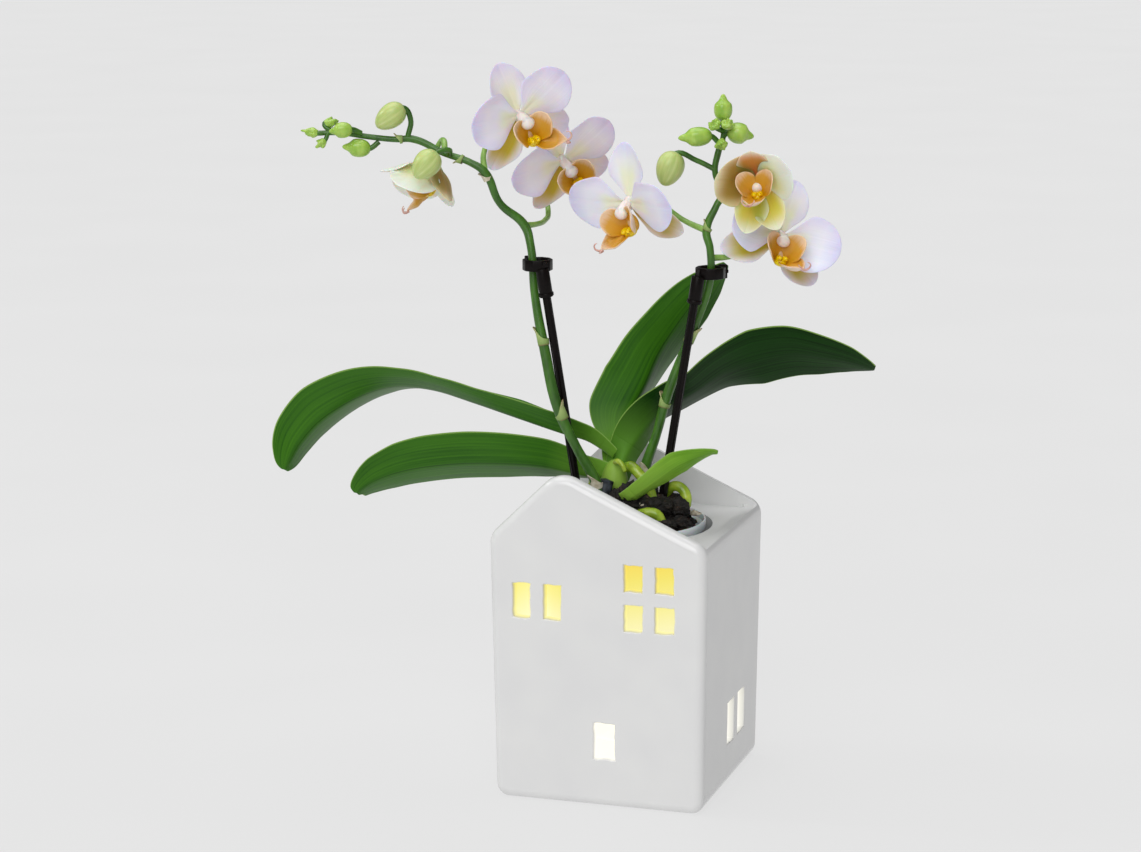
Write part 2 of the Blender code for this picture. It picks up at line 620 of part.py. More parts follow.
def station_at(stations, where):
    """Midrib point, half width, face direction and fold at a station number that may be a fraction."""
    index = min(int(where), len(stations) - 2)
    share = where - index
    neighbours = [stations[max(0, min(len(stations) - 1, index + k))] for k in (-1, 0, 1, 2)]
    points = [Vector(s[0]) for s in neighbours]
    # Catmull-Rom through the midrib points.
    tangent_in = (points[2] - points[0]) / 2
    tangent_out = (points[3] - points[1]) / 2
    s2, s3 = share * share, share ** 3
    point = (points[1] * (2 * s3 - 3 * s2 + 1) + tangent_in * (s3 - 2 * s2 + share)
             + points[2] * (3 * s2 - 2 * s3) + tangent_out * (s3 - s2))
    a, b = neighbours[1], neighbours[2]
    half_width = a[1] + (b[1] - a[1]) * share
    face = direction(a[2], a[3]).lerp(direction(b[2], b[3]), share).normalized()
    fold = math.radians(a[4] + (b[4] - a[4]) * share)
    return point, half_width, face, fold


def ribbon(name, stations, start, end, rows, columns, thickness, collection=None):
    """A strip of leaf between two station numbers: folded along its midrib, of even thickness."""
    shape = bmesh.new()
    bmesh.ops.create_grid(shape, x_segments=columns, y_segments=rows, size=1.0)
    step = 0.02
    for vertex in shape.verts:
        across = vertex.co.x
        where = start + (end - start) * (vertex.co.y + 1) / 2
        point, half_width, face, fold = station_at(stations, where)
        ahead = station_at(stations, min(where + step, len(stations) - 1.0))[0]
        behind = station_at(stations, max(where - step, 0.0))[0]
        along = (ahead - behind).normalized()
        face = (face - along * face.dot(along)).normalized()
        side = along.cross(face)
        lift = math.sqrt(across * across + 0.02) - math.sqrt(0.02)
        vertex.co = point + side * (half_width * across * math.cos(fold)) + face * (half_width * lift * math.sin(fold))
    bmesh.ops.triangulate(shape, faces=shape.faces)
    made = from_bmesh(name, shape, collection)
    skin = made.modifiers.new("Thickness", "SOLIDIFY")
    skin.thickness = thickness
    skin.offset = 0.0
    return settle(made, collection)


def leaf_sheath(name, grow=0.0, collection=None):
    """The foot of a leaf, from inside the crown to just short of the joint where its blade begins."""
    leaf = LEAVES[name]
    joint = leaf["joint"]
    here = station_at(leaf["stations"], joint)[0]
    ahead = station_at(leaf["stations"], joint + 0.05)[0]
    short = 2 * GAP * 0.05 / (ahead - here).length
    made = ribbon(name + "_sheath", leaf["stations"], 0.0, joint - short + (0.1 if grow else 0.0), 3, 4,
                  SHEATH_THICKNESS + grow, collection)
    if grow:
        for vertex in made.data.vertices:
            middle = station_at(leaf["stations"], joint / 2)[0]
            vertex.co += (vertex.co - middle).normalized() * grow / 2
    return made


def make_crown():
    """Stem, leaf sheaths and thick roots grew as one, so they are one body."""
    pieces = [crown_body("crown")]
    pieces += [leaf_sheath(name) for name in LEAVES]
    pieces += [root_tube("root_%d" % number, route) for number, route in enumerate(ROOTS)]
    crown = fuse("crown_and_roots", pieces)
    finish(crown, glossy("root_green", (0.34, 0.46, 0.10), 0.35), 50)


def make_leaves():
    green = glossy("leaf_green", (0.035, 0.120, 0.020), 0.3)
    for name, leaf in LEAVES.items():
        rows = 13 if len(leaf["stations"]) > 8 else 9
        columns = 4 if name == "leaf_5" else 6
        blade = ribbon(name, leaf["stations"], leaf["joint"], len(leaf["stations"]) - 1.0, rows, columns, LEAF_THICKNESS)
        finish(blade, green, 60)


def bloom_frame(bloom):
    """The bloom's own frame: X to the viewer's right, Y up its dorsal sepal, Z the way it faces."""
    facing = direction(*bloom["facing"])
    upright = (Vector((0, 0, 1)) - facing * facing.z).normalized()
    up = Matrix.Rotation(math.radians(bloom["roll"]), 3, facing) @ upright
    side = up.cross(facing)
    frame = Matrix((side, up, facing)).transposed().to_4x4()
    return Matrix.Translation(bloom["centre"]) @ frame @ Matrix.Scale(bloom["size"], 4)


def tepal(name, length, width, claw, foot, angle, rise, cup, hollow, wave, tip_bend, roll=0):
    """A petal or sepal: a grid drawn into a rounded blade, narrowed to its claw, cupped and waved."""
    shape = bmesh.new()
    bmesh.ops.create_grid(shape, x_segments=4, y_segments=5, size=1.0)
    for vertex in shape.verts:
        x, y = vertex.co.x, vertex.co.y
        # The square grid pressed into a disc keeps every cell open at the margin.
        across = x * math.sqrt(1 - y * y / 2)
        share = (y * math.sqrt(1 - x * x / 2) + 1) / 2
        rounding = share / 0.5 if share < 0.5 else 1.0
        narrow = claw + (1 - claw) * rounding * rounding * (3 - 2 * rounding)
        out = length * share
        height = cup * length * share * share + hollow * width * across * across
        height += wave * math.sin(math.pi * (2.3 * share + 0.7 * across)) * abs(across)
        height -= tip_bend * max(0.0, share - 0.7)
        vertex.co = Vector((across * width / 2 * narrow, out, height))
    bmesh.ops.triangulate(shape, faces=shape.faces)
    turn = Matrix.Rotation(math.radians(angle - 90), 4, "Z") @ Matrix.Rotation(math.radians(rise), 4, "X")
    turn = turn @ Matrix.Rotation(math.radians(roll), 4, "Y")
    bmesh.ops.transform(shape, matrix=Matrix.Translation(foot) @ turn, verts=shape.verts)
    made = from_bmesh(name, shape)
    skin = made.modifiers.new("Thickness", "SOLIDIFY")
    skin.thickness = TEPAL_THICKNESS
    skin.offset = 0.0
    return settle(made)


def ball(name, centre, radii, sides=8, rings=6):
    shape = bmesh.new()
    bmesh.ops.create_uvsphere(shape, u_segments=sides, v_segments=rings, radius=1.0)
    for vertex in shape.verts:
        vertex.co = Vector(vertex.co[i] * radii[i] + centre[i] for i in range(3))
    return from_bmesh(name, shape)


def make_bloom(name, bloom):
    """Three sepals behind two broad petals, round a short column, on a neck."""
    petal_angle, petal_rise = bloom["petal"]
    lateral_angle, lateral_rise = bloom["lateral"]
    sepal_foot = (0.0, 0.0, -0.0012)
    lateral_foot = (0.0, -0.0020, -0.0010)
    petal_foot = (0.0, 0.0, 0.0007)
    pieces = [
        ball("heart", (0.0, -0.0008, 0.0), (0.0026, 0.0034, 0.0024)),
        rod("neck", (0, 0, -NECK_LENGTH), (0, 0, 0), 0.0013, 0.0018, 6),
        rod("column", (0, 0, 0.001), (0, -0.0015, 0.0075), 0.0018, 0.0021, 8),
        ball("anther_cap", (0.0, -0.0017, 0.0080), (0.0023, 0.0021, 0.0018), 8, 5),
        tepal("dorsal", 0.0265, 0.0175, 0.34, sepal_foot, 90, bloom["dorsal"], 0.05, 0.10, 0.0006, 0.002),
        tepal("lateral_right", 0.0265, 0.0165, 0.40, lateral_foot, lateral_angle, lateral_rise, 0.03, 0.10, 0.0007, 0.0),
        tepal("lateral_left", 0.0265, 0.0165, 0.40, lateral_foot, 180 - lateral_angle, lateral_rise, 0.03, 0.10, 0.0007, 0.0),
        tepal("petal_right", 0.0275, 0.0255, 0.20, petal_foot, petal_angle, petal_rise, -0.10, 0.03, 0.0009, 0.001),
        tepal("petal_left", 0.0275, 0.0255, 0.20, petal_foot, 180 - petal_angle, petal_rise, -0.10, 0.03, 0.0009, 0.001),
    ]
    body = fuse(name, pieces)
    moved(body, bloom_frame(bloom))
    return body


def make_lip(name, bloom):
    """The lip: a keeled middle lobe, two erect side lobes and the callus between them."""
    pieces = [
        ball("callus", (0.0, -0.0075, 0.0053), (0.0026, 0.0018, 0.0028)),
        tepal("middle_lobe", 0.0120, 0.0085, 0.45, (0.0, -0.0076, 0.0050), -90, 52, -0.20, 0.12, 0.0003, -0.006),
        tepal("side_lobe_right", 0.0100, 0.0085, 0.50, (0.0018, -0.0070, 0.0048), 50, 45, 0.10, 0.08, 0.0003, 0.0, -55),
        tepal("side_lobe_left", 0.0100, 0.0085, 0.50, (-0.0018, -0.0070, 0.0048), 130, 45, 0.10, 0.08, 0.0003, 0.0, 55),
    ]
    lip = fuse(name, pieces)
    moved(lip, bloom_frame(bloom) @ Matrix.Translation((0.0, 0.0, bloom["lip"])))
    return lip


def make_blooms():
    blush = glossy("petal_white", (0.80, 0.76, 0.84), 0.5)
    amber = glossy("lip_amber", (0.80, 0.42, 0.08), 0.45)
    for name, bloom in BLOOMS.items():
        finish(make_bloom(name, bloom), blush, 60)
        finish(make_lip(name.replace("bloom", "lip"), bloom), amber, 60)


def bud(name, foot, tip, radius):
    """An unopened bud: an egg, broadest below its middle, drawn to a blunt point."""
    foot, tip = Vector(foot), Vector(tip)
    length = (tip - foot).length
    shape = bmesh.new()
    bmesh.ops.create_uvsphere(shape, u_segments=8, v_segments=6, radius=1.0)
    for vertex in shape.verts:
        share = (vertex.co.z + 1) / 2
        girth = radius * (1.08 - 0.30 * share)
        vertex.co = Vector((vertex.co.x * girth, vertex.co.y * girth, length * (share - 0.06)))
    turn = (tip - foot).to_track_quat("Z", "Y").to_matrix().to_4x4()
    bmesh.ops.transform(shape, matrix=Matrix.Translation(foot) @ turn, verts=shape.verts)
    return from_bmesh(name, shape)


def stem_radius(share):
    """A spike is thickest at its foot and thins to its tip."""
    return STEM_RADIUS * (1.22 - 0.62 * share)


def make_spike(name, spike):
    stem = spike["stem"]
    last = len(stem) - 1
    pieces = [tube(name + "_stem", stem, [stem_radius(i / last) for i in range(last + 1)])]
    for bloom_name, route in spike["pedicels"].items():
        bloom = BLOOMS[bloom_name]
        centre, facing = Vector(bloom["centre"]), direction(*bloom["facing"])
        back = NECK_LENGTH * bloom["size"] + GAP
        points = [*route, centre - facing * (back + 0.0035), centre - facing * back]
        pieces.append(tube(bloom_name + "_pedicel", points, [PEDICEL_RADIUS] * len(points)))
    for number, (route, tip, radius) in enumerate(spike["buds"]):
        thin = min(0.00095, radius * 0.42)
        points = [Vector(p) for p in route]
        points.append(points[-1].lerp(Vector(tip), 0.12))
        pieces.append(tube("%s_stalk_%d" % (name, number), points, [thin] * len(points), 1, 2))
        pieces.append(bud("%s_bud_%d" % (name, number), route[-1], tip, radius))
    for number, share in enumerate(spike["bracts"]):
        where = share * last
        index = int(where)
        here = Vector(stem[index]).lerp(Vector(stem[index + 1]), where - index)
        along = (Vector(stem[index + 1]) - Vector(stem[index])).normalized()
        thick = stem_radius(share)
        pieces.append(rod("%s_bract_%d" % (name, number), here - along * 0.003, here + along * 0.003,
                          thick * 1.10, thick * 1.28, 6))
    return fuse(name, pieces)


def make_spikes():
    green = glossy("stem_green", (0.14, 0.32, 0.05), 0.4)
    for name, spike in SPIKES.items():
        finish(make_spike(name, spike), green, 60)


def make_stick(label, stick):
    """A fluted support stick, pushed into the bark."""
    foot, top = Vector(stick["foot"]), Vector(stick["top"])
    along = (top - foot).normalized()
    start = foot + along * (STICK_BURIED_Z - foot.z) / along.z
    shape = bmesh.new()
    flutes = 8
    bmesh.ops.create_cone(shape, cap_ends=True, segments=2 * flutes, radius1=STICK_RADIUS, radius2=STICK_RADIUS,
                          depth=(top - start).length)
    for vertex in shape.verts:
        turn = math.atan2(vertex.co.y, vertex.co.x)
        groove = round(turn / (math.pi / flutes)) % 2
        if groove:
            vertex.co.x *= 0.84
            vertex.co.y *= 0.84
    turn = (top - start).to_track_quat("Z", "Y").to_matrix().to_4x4()
    bmesh.ops.transform(shape, matrix=Matrix.Translation((start + top) / 2) @ turn, verts=shape.verts)
    return from_bmesh("stick_" + label, shape)


def make_clip(label, stick):
    """A moulded clip: a ring round the spike on a socket that is pushed over the stick."""
    foot, top, ring_centre = Vector(stick["foot"]), Vector(stick["top"]), Vector(stick["ring"])
    along = (top - foot).normalized()
    half = RING_HEIGHT / 2
    ring = turned("ring", ((RING_OUTER_RADIUS, half), (RING_OUTER_RADIUS, -half),
                           (RING_INNER_RADIUS, -half), (RING_INNER_RADIUS, half)), 16)
    moved(ring, Matrix.Translation(ring_centre))
    reach = ring_centre.z - half - top.z + 0.0015
    socket = rod("socket", top - along * 0.007, top + along * reach, 0.0034, None, 8)
    towards = Vector((top.x - ring_centre.x, top.y - ring_centre.y, 0.0)).normalized()
    tongue = rod("tongue", ring_centre + towards * (RING_INNER_RADIUS + 0.0004) + Vector((0, 0, half)),
                 top + along * (reach - 0.002), 0.0017, None, 8)
    latch = box("latch", (-0.0012, -0.0022, -half - 0.0006), (0.0022, 0.0022, half + 0.0006))
    away = Matrix.Rotation(math.atan2(-towards.y, -towards.x), 4, "Z")
    moved(latch, Matrix.Translation(ring_centre) @ away @ Matrix.Translation((RING_OUTER_RADIUS - 0.0004, 0, 0)))
    clip = fuse("clip_" + label, [ring, socket, tongue, latch])
    cut(clip, bore("cutter_socket_" + label, top - along * 0.012, top + along * GAP, STICK_RADIUS + GAP))
    cut(clip, rod("cutter_ring_" + label, ring_centre - Vector((0, 0, 0.004)), ring_centre + Vector((0, 0, 0.006)),
                  RING_INNER_RADIUS, None, 16, CUTTERS))
    return settle(clip)


def make_supports():
    black = glossy("black_plastic", (0.015, 0.012, 0.012), 0.35)
    for label, stick in STICKS.items():
        finish(make_stick(label, stick), black, 30)
        finish(make_clip(label, stick), black, 40)


def main():
    chance = random.Random(7)
    make_house(chance)
    make_tealight()
    make_grow_pot()
    make_bark()
    make_crown()
    make_leaves()
    make_blooms()
    make_spikes()
    make_supports()


main()
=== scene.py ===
# %% [markdown]
# # A mini moth orchid in a house-shaped lantern pot
#
# The CAD solids give every size and place. This lesson dresses them: a glazed
# slip-cast pot, a clear nursery pot full of bark, glossy leaves, two flower
# spikes with six blooms, and the black sticks and clips that hold the spikes up.

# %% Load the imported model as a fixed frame
import math
import random

import bmesh
import bpy
from mathutils import Matrix, Quaternion, Vector, noise


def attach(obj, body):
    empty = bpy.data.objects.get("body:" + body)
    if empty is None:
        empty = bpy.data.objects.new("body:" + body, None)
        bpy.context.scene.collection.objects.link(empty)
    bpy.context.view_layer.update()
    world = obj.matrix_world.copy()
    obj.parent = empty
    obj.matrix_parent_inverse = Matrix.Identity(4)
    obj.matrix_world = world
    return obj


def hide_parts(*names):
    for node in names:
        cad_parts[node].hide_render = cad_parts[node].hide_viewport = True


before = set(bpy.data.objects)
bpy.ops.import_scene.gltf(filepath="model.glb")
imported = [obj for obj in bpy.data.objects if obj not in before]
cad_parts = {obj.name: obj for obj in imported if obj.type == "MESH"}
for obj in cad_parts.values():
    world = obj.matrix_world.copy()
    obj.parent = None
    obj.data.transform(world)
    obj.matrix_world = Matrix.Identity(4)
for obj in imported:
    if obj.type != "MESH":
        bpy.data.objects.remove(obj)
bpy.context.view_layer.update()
chance = random.Random(11)
# Without a seed, noise_vector would start from the clock and cut other windows in each run.
noise.seed_set(11)

# %% [markdown]
# The camera repeats the photograph's viewpoint: a long lens, turned 18 degrees
# to the right of the house's front and looking 12 degrees down. The view
# direction comes from two points, and a small roll levels the picture.

# %% Camera
EYE = Vector((0.38387, -1.27681, 0.43756))
AIM = Vector((-0.02749, 0.0, 0.16196))
ROLL = math.radians(-0.236)
camera_data = bpy.data.cameras.new("camera")
camera_data.lens = 95.5
camera_data.sensor_width = 36.0
camera = bpy.data.objects.new("camera", camera_data)
bpy.context.scene.collection.objects.link(camera)
camera.location = EYE
camera.rotation_mode = "QUATERNION"
camera.rotation_quaternion = (AIM - EYE).to_track_quat("-Z", "Y") @ Quaternion((0, 0, 1), ROLL)
bpy.context.scene.camera = camera
bpy.context.scene.view_settings.view_transform = "Standard"

# %% [markdown]
# Operators act on whatever is selected, so each piece is selected alone first.
# These few helpers select, apply a modifier, join pieces and hand a finished
# piece over in place of its CAD solid.


# %% Helpers
def alone(obj):
    """Leaves one object selected and active."""
    bpy.ops.object.select_all(action="DESELECT")
    obj.select_set(True)
    bpy.context.view_layer.objects.active = obj
    return obj


def named(name):
    """The object that an operator has just added, under its own name."""
    obj = bpy.context.active_object
    obj.name = name
    obj.data.name = name
    return obj


def applied(obj, kind, **settings):
    """One modifier, set and applied."""
    alone(obj)
    modifier = obj.modifiers.new(kind.title(), kind)
    for key, value in settings.items():
        setattr(modifier, key, value)
    bpy.ops.object.modifier_apply(modifier=modifier.name)
    return obj


def joined(name, pieces):
    """Several finished pieces as one object."""
    bpy.ops.object.select_all(action="DESELECT")
    for piece in pieces:
        piece.select_set(True)
    bpy.context.view_layer.objects.active = pieces[0]
    if len(pieces) > 1:
        bpy.ops.object.join()
    return named(name)


def grounded(obj):
    """Puts the object's place, turn and size into its mesh."""
    alone(obj)
    bpy.ops.object.transform_apply(location=True, rotation=True, scale=True)
    return obj


def smooth(obj, degrees):
    alone(obj)
    bpy.ops.object.shade_smooth_by_angle(angle=math.radians(degrees))
    return obj


def paint(obj, *materials):
    obj.data.materials.clear()
    for material in materials:
        obj.data.materials.append(material)
    return obj


def dress(obj, slot, *nodes):
    """The piece rides on the object's one body and stands for these CAD solids."""
    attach(obj, "root")
    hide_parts(*nodes)
    print(obj.name, len(obj.data.polygons), "faces for", ", ".join(nodes))
    return obj


def direction(azimuth, elevation):
    a, e = math.radians(azimuth), math.radians(elevation)
    return Vector((math.cos(e) * math.cos(a), math.cos(e) * math.sin(a), math.sin(e)))


def along(start, end):
    """The turn and move that stand a piece made round +Z on start, pointing at end."""
    start, end = Vector(start), Vector(end)
    return Matrix.Translation(start) @ (end - start).to_track_quat("Z", "Y").to_matrix().to_4x4()


def blend(a, b, share):
    return a + (b - a) * share


def ease(value, low, high):
    """0 below low, 1 above high, and a smooth climb between."""
    share = min(1.0, max(0.0, (value - low) / (high - low)))
    return share * share * (3 - 2 * share)


# %% [markdown]
# Every finish is a small node tree round one Principled shader. Colours are
# written as sRGB hex, as in a paint program, and one function turns them to the
# linear values that the shader works in. One more function adds a node.


# %% Colour and node helpers
def linear(code):
    """sRGB hex to linear RGBA."""
    parts = [int(code[i:i + 2], 16) / 255 for i in (1, 3, 5)]
    return (*[v / 12.92 if v <= 0.04045 else ((v + 0.055) / 1.055) ** 2.4 for v in parts], 1.0)


def add(tree, kind, plugs=None, stops=None, **settings):
    """A node with its settings, its sockets filled or linked, and a ramp's colour stops."""
    node = tree.nodes.new(kind)
    for key, value in settings.items():
        setattr(node, key, value)
    for socket, value in (plugs or {}).items():
        if isinstance(value, bpy.types.NodeSocket):
            tree.links.new(value, node.inputs[socket])
        else:
            node.inputs[socket].default_value = value
    if stops:
        ramp = node.color_ramp.elements
        while len(ramp) < len(stops):
            ramp.new(0.5)
        for element, (position, code) in zip(ramp, stops):
            element.position = position
            element.color = linear(code)
    return node


def finish(name, colour, roughness, **sockets):
    """A new material with one Principled shader. Returns it with its tree and shader."""
    material = bpy.data.materials.new(name)
    material.use_nodes = True
    tree = material.node_tree
    shader = tree.nodes["Principled BSDF"]
    shader.inputs["Base Color"].default_value = linear(colour)
    shader.inputs["Roughness"].default_value = roughness
    for key, value in sockets.items():
        shader.inputs[key.replace("_", " ")].default_value = value
    return material, tree, shader


def own_place(tree):
    """The object's own coordinates, in metres."""
    return add(tree, "ShaderNodeTexCoord").outputs["Object"]


def parts_of(tree, vector):
    """The three numbers of a vector, as sockets named X, Y and Z."""
    return add(tree, "ShaderNodeSeparateXYZ", {"Vector": vector}).outputs


def calc(tree, operation, *values):
    """A sum or another operation on sockets and numbers."""
    return add(tree, "ShaderNodeMath", dict(enumerate(values)), operation=operation).outputs[0]


def ranged(tree, value, start, stop, top=1.0, **settings):
    """0 where the value is at start, changing to top where it is at stop."""
    plugs = {"Value": value, "From Min": start, "From Max": stop, "To Max": top}
    return add(tree, "ShaderNodeMapRange", plugs, **settings).outputs["Result"]


def ramp(tree, share, stops):
    """A colour read off between colour stops."""
    return add(tree, "ShaderNodeValToRGB", {"Fac": share}, stops=stops).outputs["Color"]


def mixed(tree, share, colour, code):
    """The colour, mixed by its share with one written as hex."""
    return add(tree, "ShaderNodeMix", {0: share, 6: colour, 7: linear(code)}, data_type="RGBA").outputs[2]


def stretched(tree, vector, scale):
    return add(tree, "ShaderNodeMapping", {"Vector": vector, "Scale": scale}).outputs["Vector"]


def mottled(tree, shader, per_metre, stops, detail=3.0, vector=None):
    """Colour that drifts over the surface with noise of a real size. Returns the noise."""
    plugs = {"Vector": vector or own_place(tree), "Scale": per_metre, "Detail": detail}
    texture = add(tree, "ShaderNodeTexNoise", plugs)
    tree.links.new(ramp(tree, texture.outputs["Fac"], stops), shader.inputs["Base Color"])
    return texture


def relief(tree, shader, texture, height, strength):
    """Fine relief on the surface: the texture as bump, its height in metres."""
    plugs = {"Height": texture.outputs["Fac"], "Distance": height, "Strength": strength}
    bump = add(tree, "ShaderNodeBump", plugs)
    tree.links.new(bump.outputs["Normal"], shader.inputs["Normal"])


def mottled_finish(name, colour, roughness, per_metre, stops, detail=3.0, bumps=None, **sockets):
    """A finish of drifting colour, with bumps (their height in metres, their strength) where it has any."""
    material, tree, shader = finish(name, colour, roughness, **sockets)
    texture = mottled(tree, shader, per_metre, stops, detail)
    if bumps:
        relief(tree, shader, texture, *bumps)
    return material


# %% [markdown]
# The pot is slip-cast earthenware under a thick, opaque white glaze. A fired
# glaze is glass, so its IOR is near 1.5 and it is smooth, but it flows a little
# over the casting: a slow waviness of 20 mm or so breaks up the reflections.
# Inside the lantern chamber the same glaze carries painted lamplight: those faces
# glow by themselves, brighter near the lamp.

# %% Ceramic finishes
glaze = mottled_finish("opaque_white_glaze", "#DDDDDD", 0.14, 45.0, ((0.3, "#DBDBDB"), (0.7, "#DFDFDE")), 1.5,
                       (0.0012, 0.10), IOR=1.5)

# The glaze inside the lantern, with the lamp's light painted on it as a glow, whiter near the lamp and
# yellower above.
painted_lamplight_glaze, tree, shader = finish("glaze_with_painted_lamplight", "#4A4636", 0.5)
parts = parts_of(tree, own_place(tree))
warm = ramp(tree, ranged(tree, parts["Z"], 0.015, 0.115),
            ((0.0, "#FFFEF8"), (0.4, "#FFFDEE"), (0.62, "#FAF5BC"), (0.76, "#F7EE90"), (0.87, "#F4E570"),
             (1.0, "#FAD750")))
# At 49 mm from the middle a window's edge is plain glaze, and 3.5 mm further in it carries the full painted
# lamplight.
out = calc(tree, "MAXIMUM", calc(tree, "ABSOLUTE", parts["X"]), calc(tree, "ABSOLUTE", parts["Y"]))
deep = ranged(tree, out, 0.0490, 0.0455)
# Where the painted glow is full, the glaze's own colour is darkened so that light bounced round the chamber
# adds little to it.
body = add(tree, "ShaderNodeMix", {0: deep, 6: linear("#D9D9D8"), 7: linear("#4A4636")}, data_type="RGBA")
tree.links.new(body.outputs[2], shader.inputs["Base Color"])
tree.links.new(warm, shader.inputs["Emission Color"])
tree.links.new(calc(tree, "MULTIPLY", deep, 0.92), shader.inputs["Emission Strength"])

# %% [markdown]
# The house starts as a cube. A bisect gives the roof its ridge line, which is
# then lifted, and the foot is drawn in a little, as a casting that leaves its
# mould. The corners seen from the front are bevelled first, each with its own
# radius, and then the rim of the front and back all round.

# %% Sizes of the house, in metres, as the CAD has them
WIDTH = 0.100
EAVES_Z = 0.121
RIDGE_X = -0.018
RIDGE_Z = 0.152
DRAFT = 0.0018
WALL = 0.0055
FLOOR = 0.005
DECK_Z = 0.119
DECK_UNDER_Z = 0.114
WELL_TOP_RADIUS = 0.038
WELL_FLOOR_RADIUS = 0.0315
WELL_FLOOR_Z = 0.055
WELL_WALL = 0.0035
HALF = WIDTH / 2


# %% The solid house
def choose(obj, edge_test):
    """In edit mode, selects the edges whose two ends pass the test."""
    shape = bmesh.from_edit_mesh(obj.data)
    bpy.ops.mesh.select_all(action="DESELECT")
    bpy.context.tool_settings.mesh_select_mode = (False, True, False)
    for edge in shape.edges:
        edge.select = len(edge.link_faces) == 2 and edge_test(edge)
    shape.select_flush_mode()
    bmesh.update_edit_mesh(obj.data)


def across_pot(edge, x, z):
    """True for an edge that runs from front to back through this x and z."""
    a, b = (v.co for v in edge.verts)
    return all(abs(p.x - x) < 1e-4 and abs(p.z - z) < 1e-4 for p in (a, b)) and abs(a.y - b.y) > 0.05


def drawn_in(obj):
    """Draws the sides in towards the foot, as in a casting that leaves its mould."""
    for vertex in obj.data.vertices:
        share = 1 - (DRAFT / HALF) * max(0.0, 1 - vertex.co.z / EAVES_Z)
        vertex.co.x *= share
        vertex.co.y *= share
    return obj


bpy.ops.object.select_all(action="DESELECT")
bpy.ops.mesh.primitive_cube_add(size=1.0, location=(0, 0, EAVES_Z / 2), scale=(WIDTH, WIDTH, EAVES_Z))
house = grounded(named("house_pot_glazed"))
bpy.ops.object.mode_set(mode="EDIT")
bpy.ops.mesh.select_all(action="SELECT")
bpy.ops.mesh.bisect(plane_co=(RIDGE_X, 0, 0), plane_no=(1, 0, 0))
choose(house, lambda e: across_pot(e, RIDGE_X, EAVES_Z))
bpy.ops.transform.translate(value=(0, 0, RIDGE_Z - EAVES_Z))
bpy.ops.mesh.select_all(action="SELECT")
bpy.ops.mesh.dissolve_limited(angle_limit=math.radians(1))
for x, z, radius in ((HALF, 0.0, 0.006), (-HALF, 0.0, 0.006), (HALF, EAVES_Z, 0.0050),
                     (-HALF, EAVES_Z, 0.0034), (RIDGE_X, RIDGE_Z, 0.0082)):
    choose(house, lambda e: across_pot(e, x, z))
    bpy.ops.mesh.bevel(offset=radius, segments=8, affect="EDGES")
choose(house, lambda e: e.calc_face_angle(0) > 0.4 and abs(e.verts[0].co.y - e.verts[1].co.y) < 0.01)
bpy.ops.mesh.bevel(offset=0.004, segments=8, affect="EDGES")
# The draft ends at the eaves. Two more cuts there keep the change of slope to a narrow, soft band.
for height in (EAVES_Z - 0.005, EAVES_Z, EAVES_Z + 0.005):
    bpy.ops.mesh.select_all(action="SELECT")
    bpy.ops.mesh.bisect(plane_co=(0, 0, height), plane_no=(0, 0, 1))
bpy.ops.object.mode_set(mode="OBJECT")
drawn_in(house)
print("solid house:", len(house.data.polygons), "faces")

# %% [markdown]
# The hollows are cut with Booleans, each from a cutter that runs past the wall:
# the open roof, the deck's shallow tray, the lantern chamber round the hanging
# cup, the well, the lamp's door at the back and the windows. The windows were
# cut by hand in the soft clay, so their sides wander and no two are alike. The
# glaze has run round their rims, so each cutter flares near the outer face.


# %% Cutters
def block(name, low, high, round_z=0.0):
    """A box cutter, with its upright edges rounded if wanted."""
    low, high = Vector(low), Vector(high)
    bpy.ops.object.select_all(action="DESELECT")
    bpy.ops.mesh.primitive_cube_add(size=1.0, location=(low + high) / 2, scale=high - low)
    obj = grounded(named(name))
    if round_z:
        bpy.ops.object.mode_set(mode="EDIT")
        choose(obj, lambda e: abs(e.verts[0].co.z - e.verts[1].co.z) > 0.001)
        bpy.ops.mesh.bevel(offset=round_z, segments=5, affect="EDGES")
        bpy.ops.object.mode_set(mode="OBJECT")
    return obj


def cone(name, low_z, high_z, low_radius, high_radius):
    bpy.ops.object.select_all(action="DESELECT")
    bpy.ops.mesh.primitive_cone_add(vertices=64, radius1=low_radius, radius2=high_radius,
                                    depth=high_z - low_z, location=(0, 0, (low_z + high_z) / 2))
    return grounded(named(name))


def subtract(obj, *cutters):
    for cutter in cutters:
        applied(obj, "BOOLEAN", operation="DIFFERENCE", solver="EXACT", object=cutter)
        bpy.data.objects.remove(cutter, do_unlink=True)
    return obj


inside = HALF - WALL
chamber = drawn_in(block("chamber", (-inside, -inside, FLOOR), (inside, inside, DECK_UNDER_Z), 0.006))
subtract(chamber, cone("cup", WELL_FLOOR_Z - WELL_WALL - 0.0005, DECK_Z + 0.004,
                       WELL_FLOOR_RADIUS + WELL_WALL, WELL_TOP_RADIUS + WELL_WALL))
subtract(
    house,
    block("roof_void", (-0.07, -inside, EAVES_Z - 0.0006), (0.07, inside, 0.2)),
    block("deck_tray", (-0.0435, -inside - 0.0002, DECK_Z), (0.0435, inside + 0.0002, 0.2), 0.005),
    chamber,
    cone("well", WELL_FLOOR_Z, DECK_Z + 0.006, WELL_FLOOR_RADIUS, WELL_TOP_RADIUS + 0.0006),
    block("door", (-0.025, inside - 0.004, FLOOR), (0.025, HALF + 0.004, 0.047)),
)

FRONT_WINDOWS = (
    (-0.0388, -0.0307, 0.0845, 0.1005), (-0.0246, -0.0165, 0.0845, 0.1005),
    (0.0125, 0.0210, 0.0820, 0.0940), (0.0268, 0.0354, 0.0820, 0.0940),
    (0.0125, 0.0210, 0.1000, 0.1120), (0.0268, 0.0354, 0.1000, 0.1120),
    (-0.0018, 0.0080, 0.0220, 0.0388),
)
SIDE_WINDOWS = ((-0.0070, 0.0050, 0.0205, 0.0400), (0.0110, 0.0235, 0.0205, 0.0400))
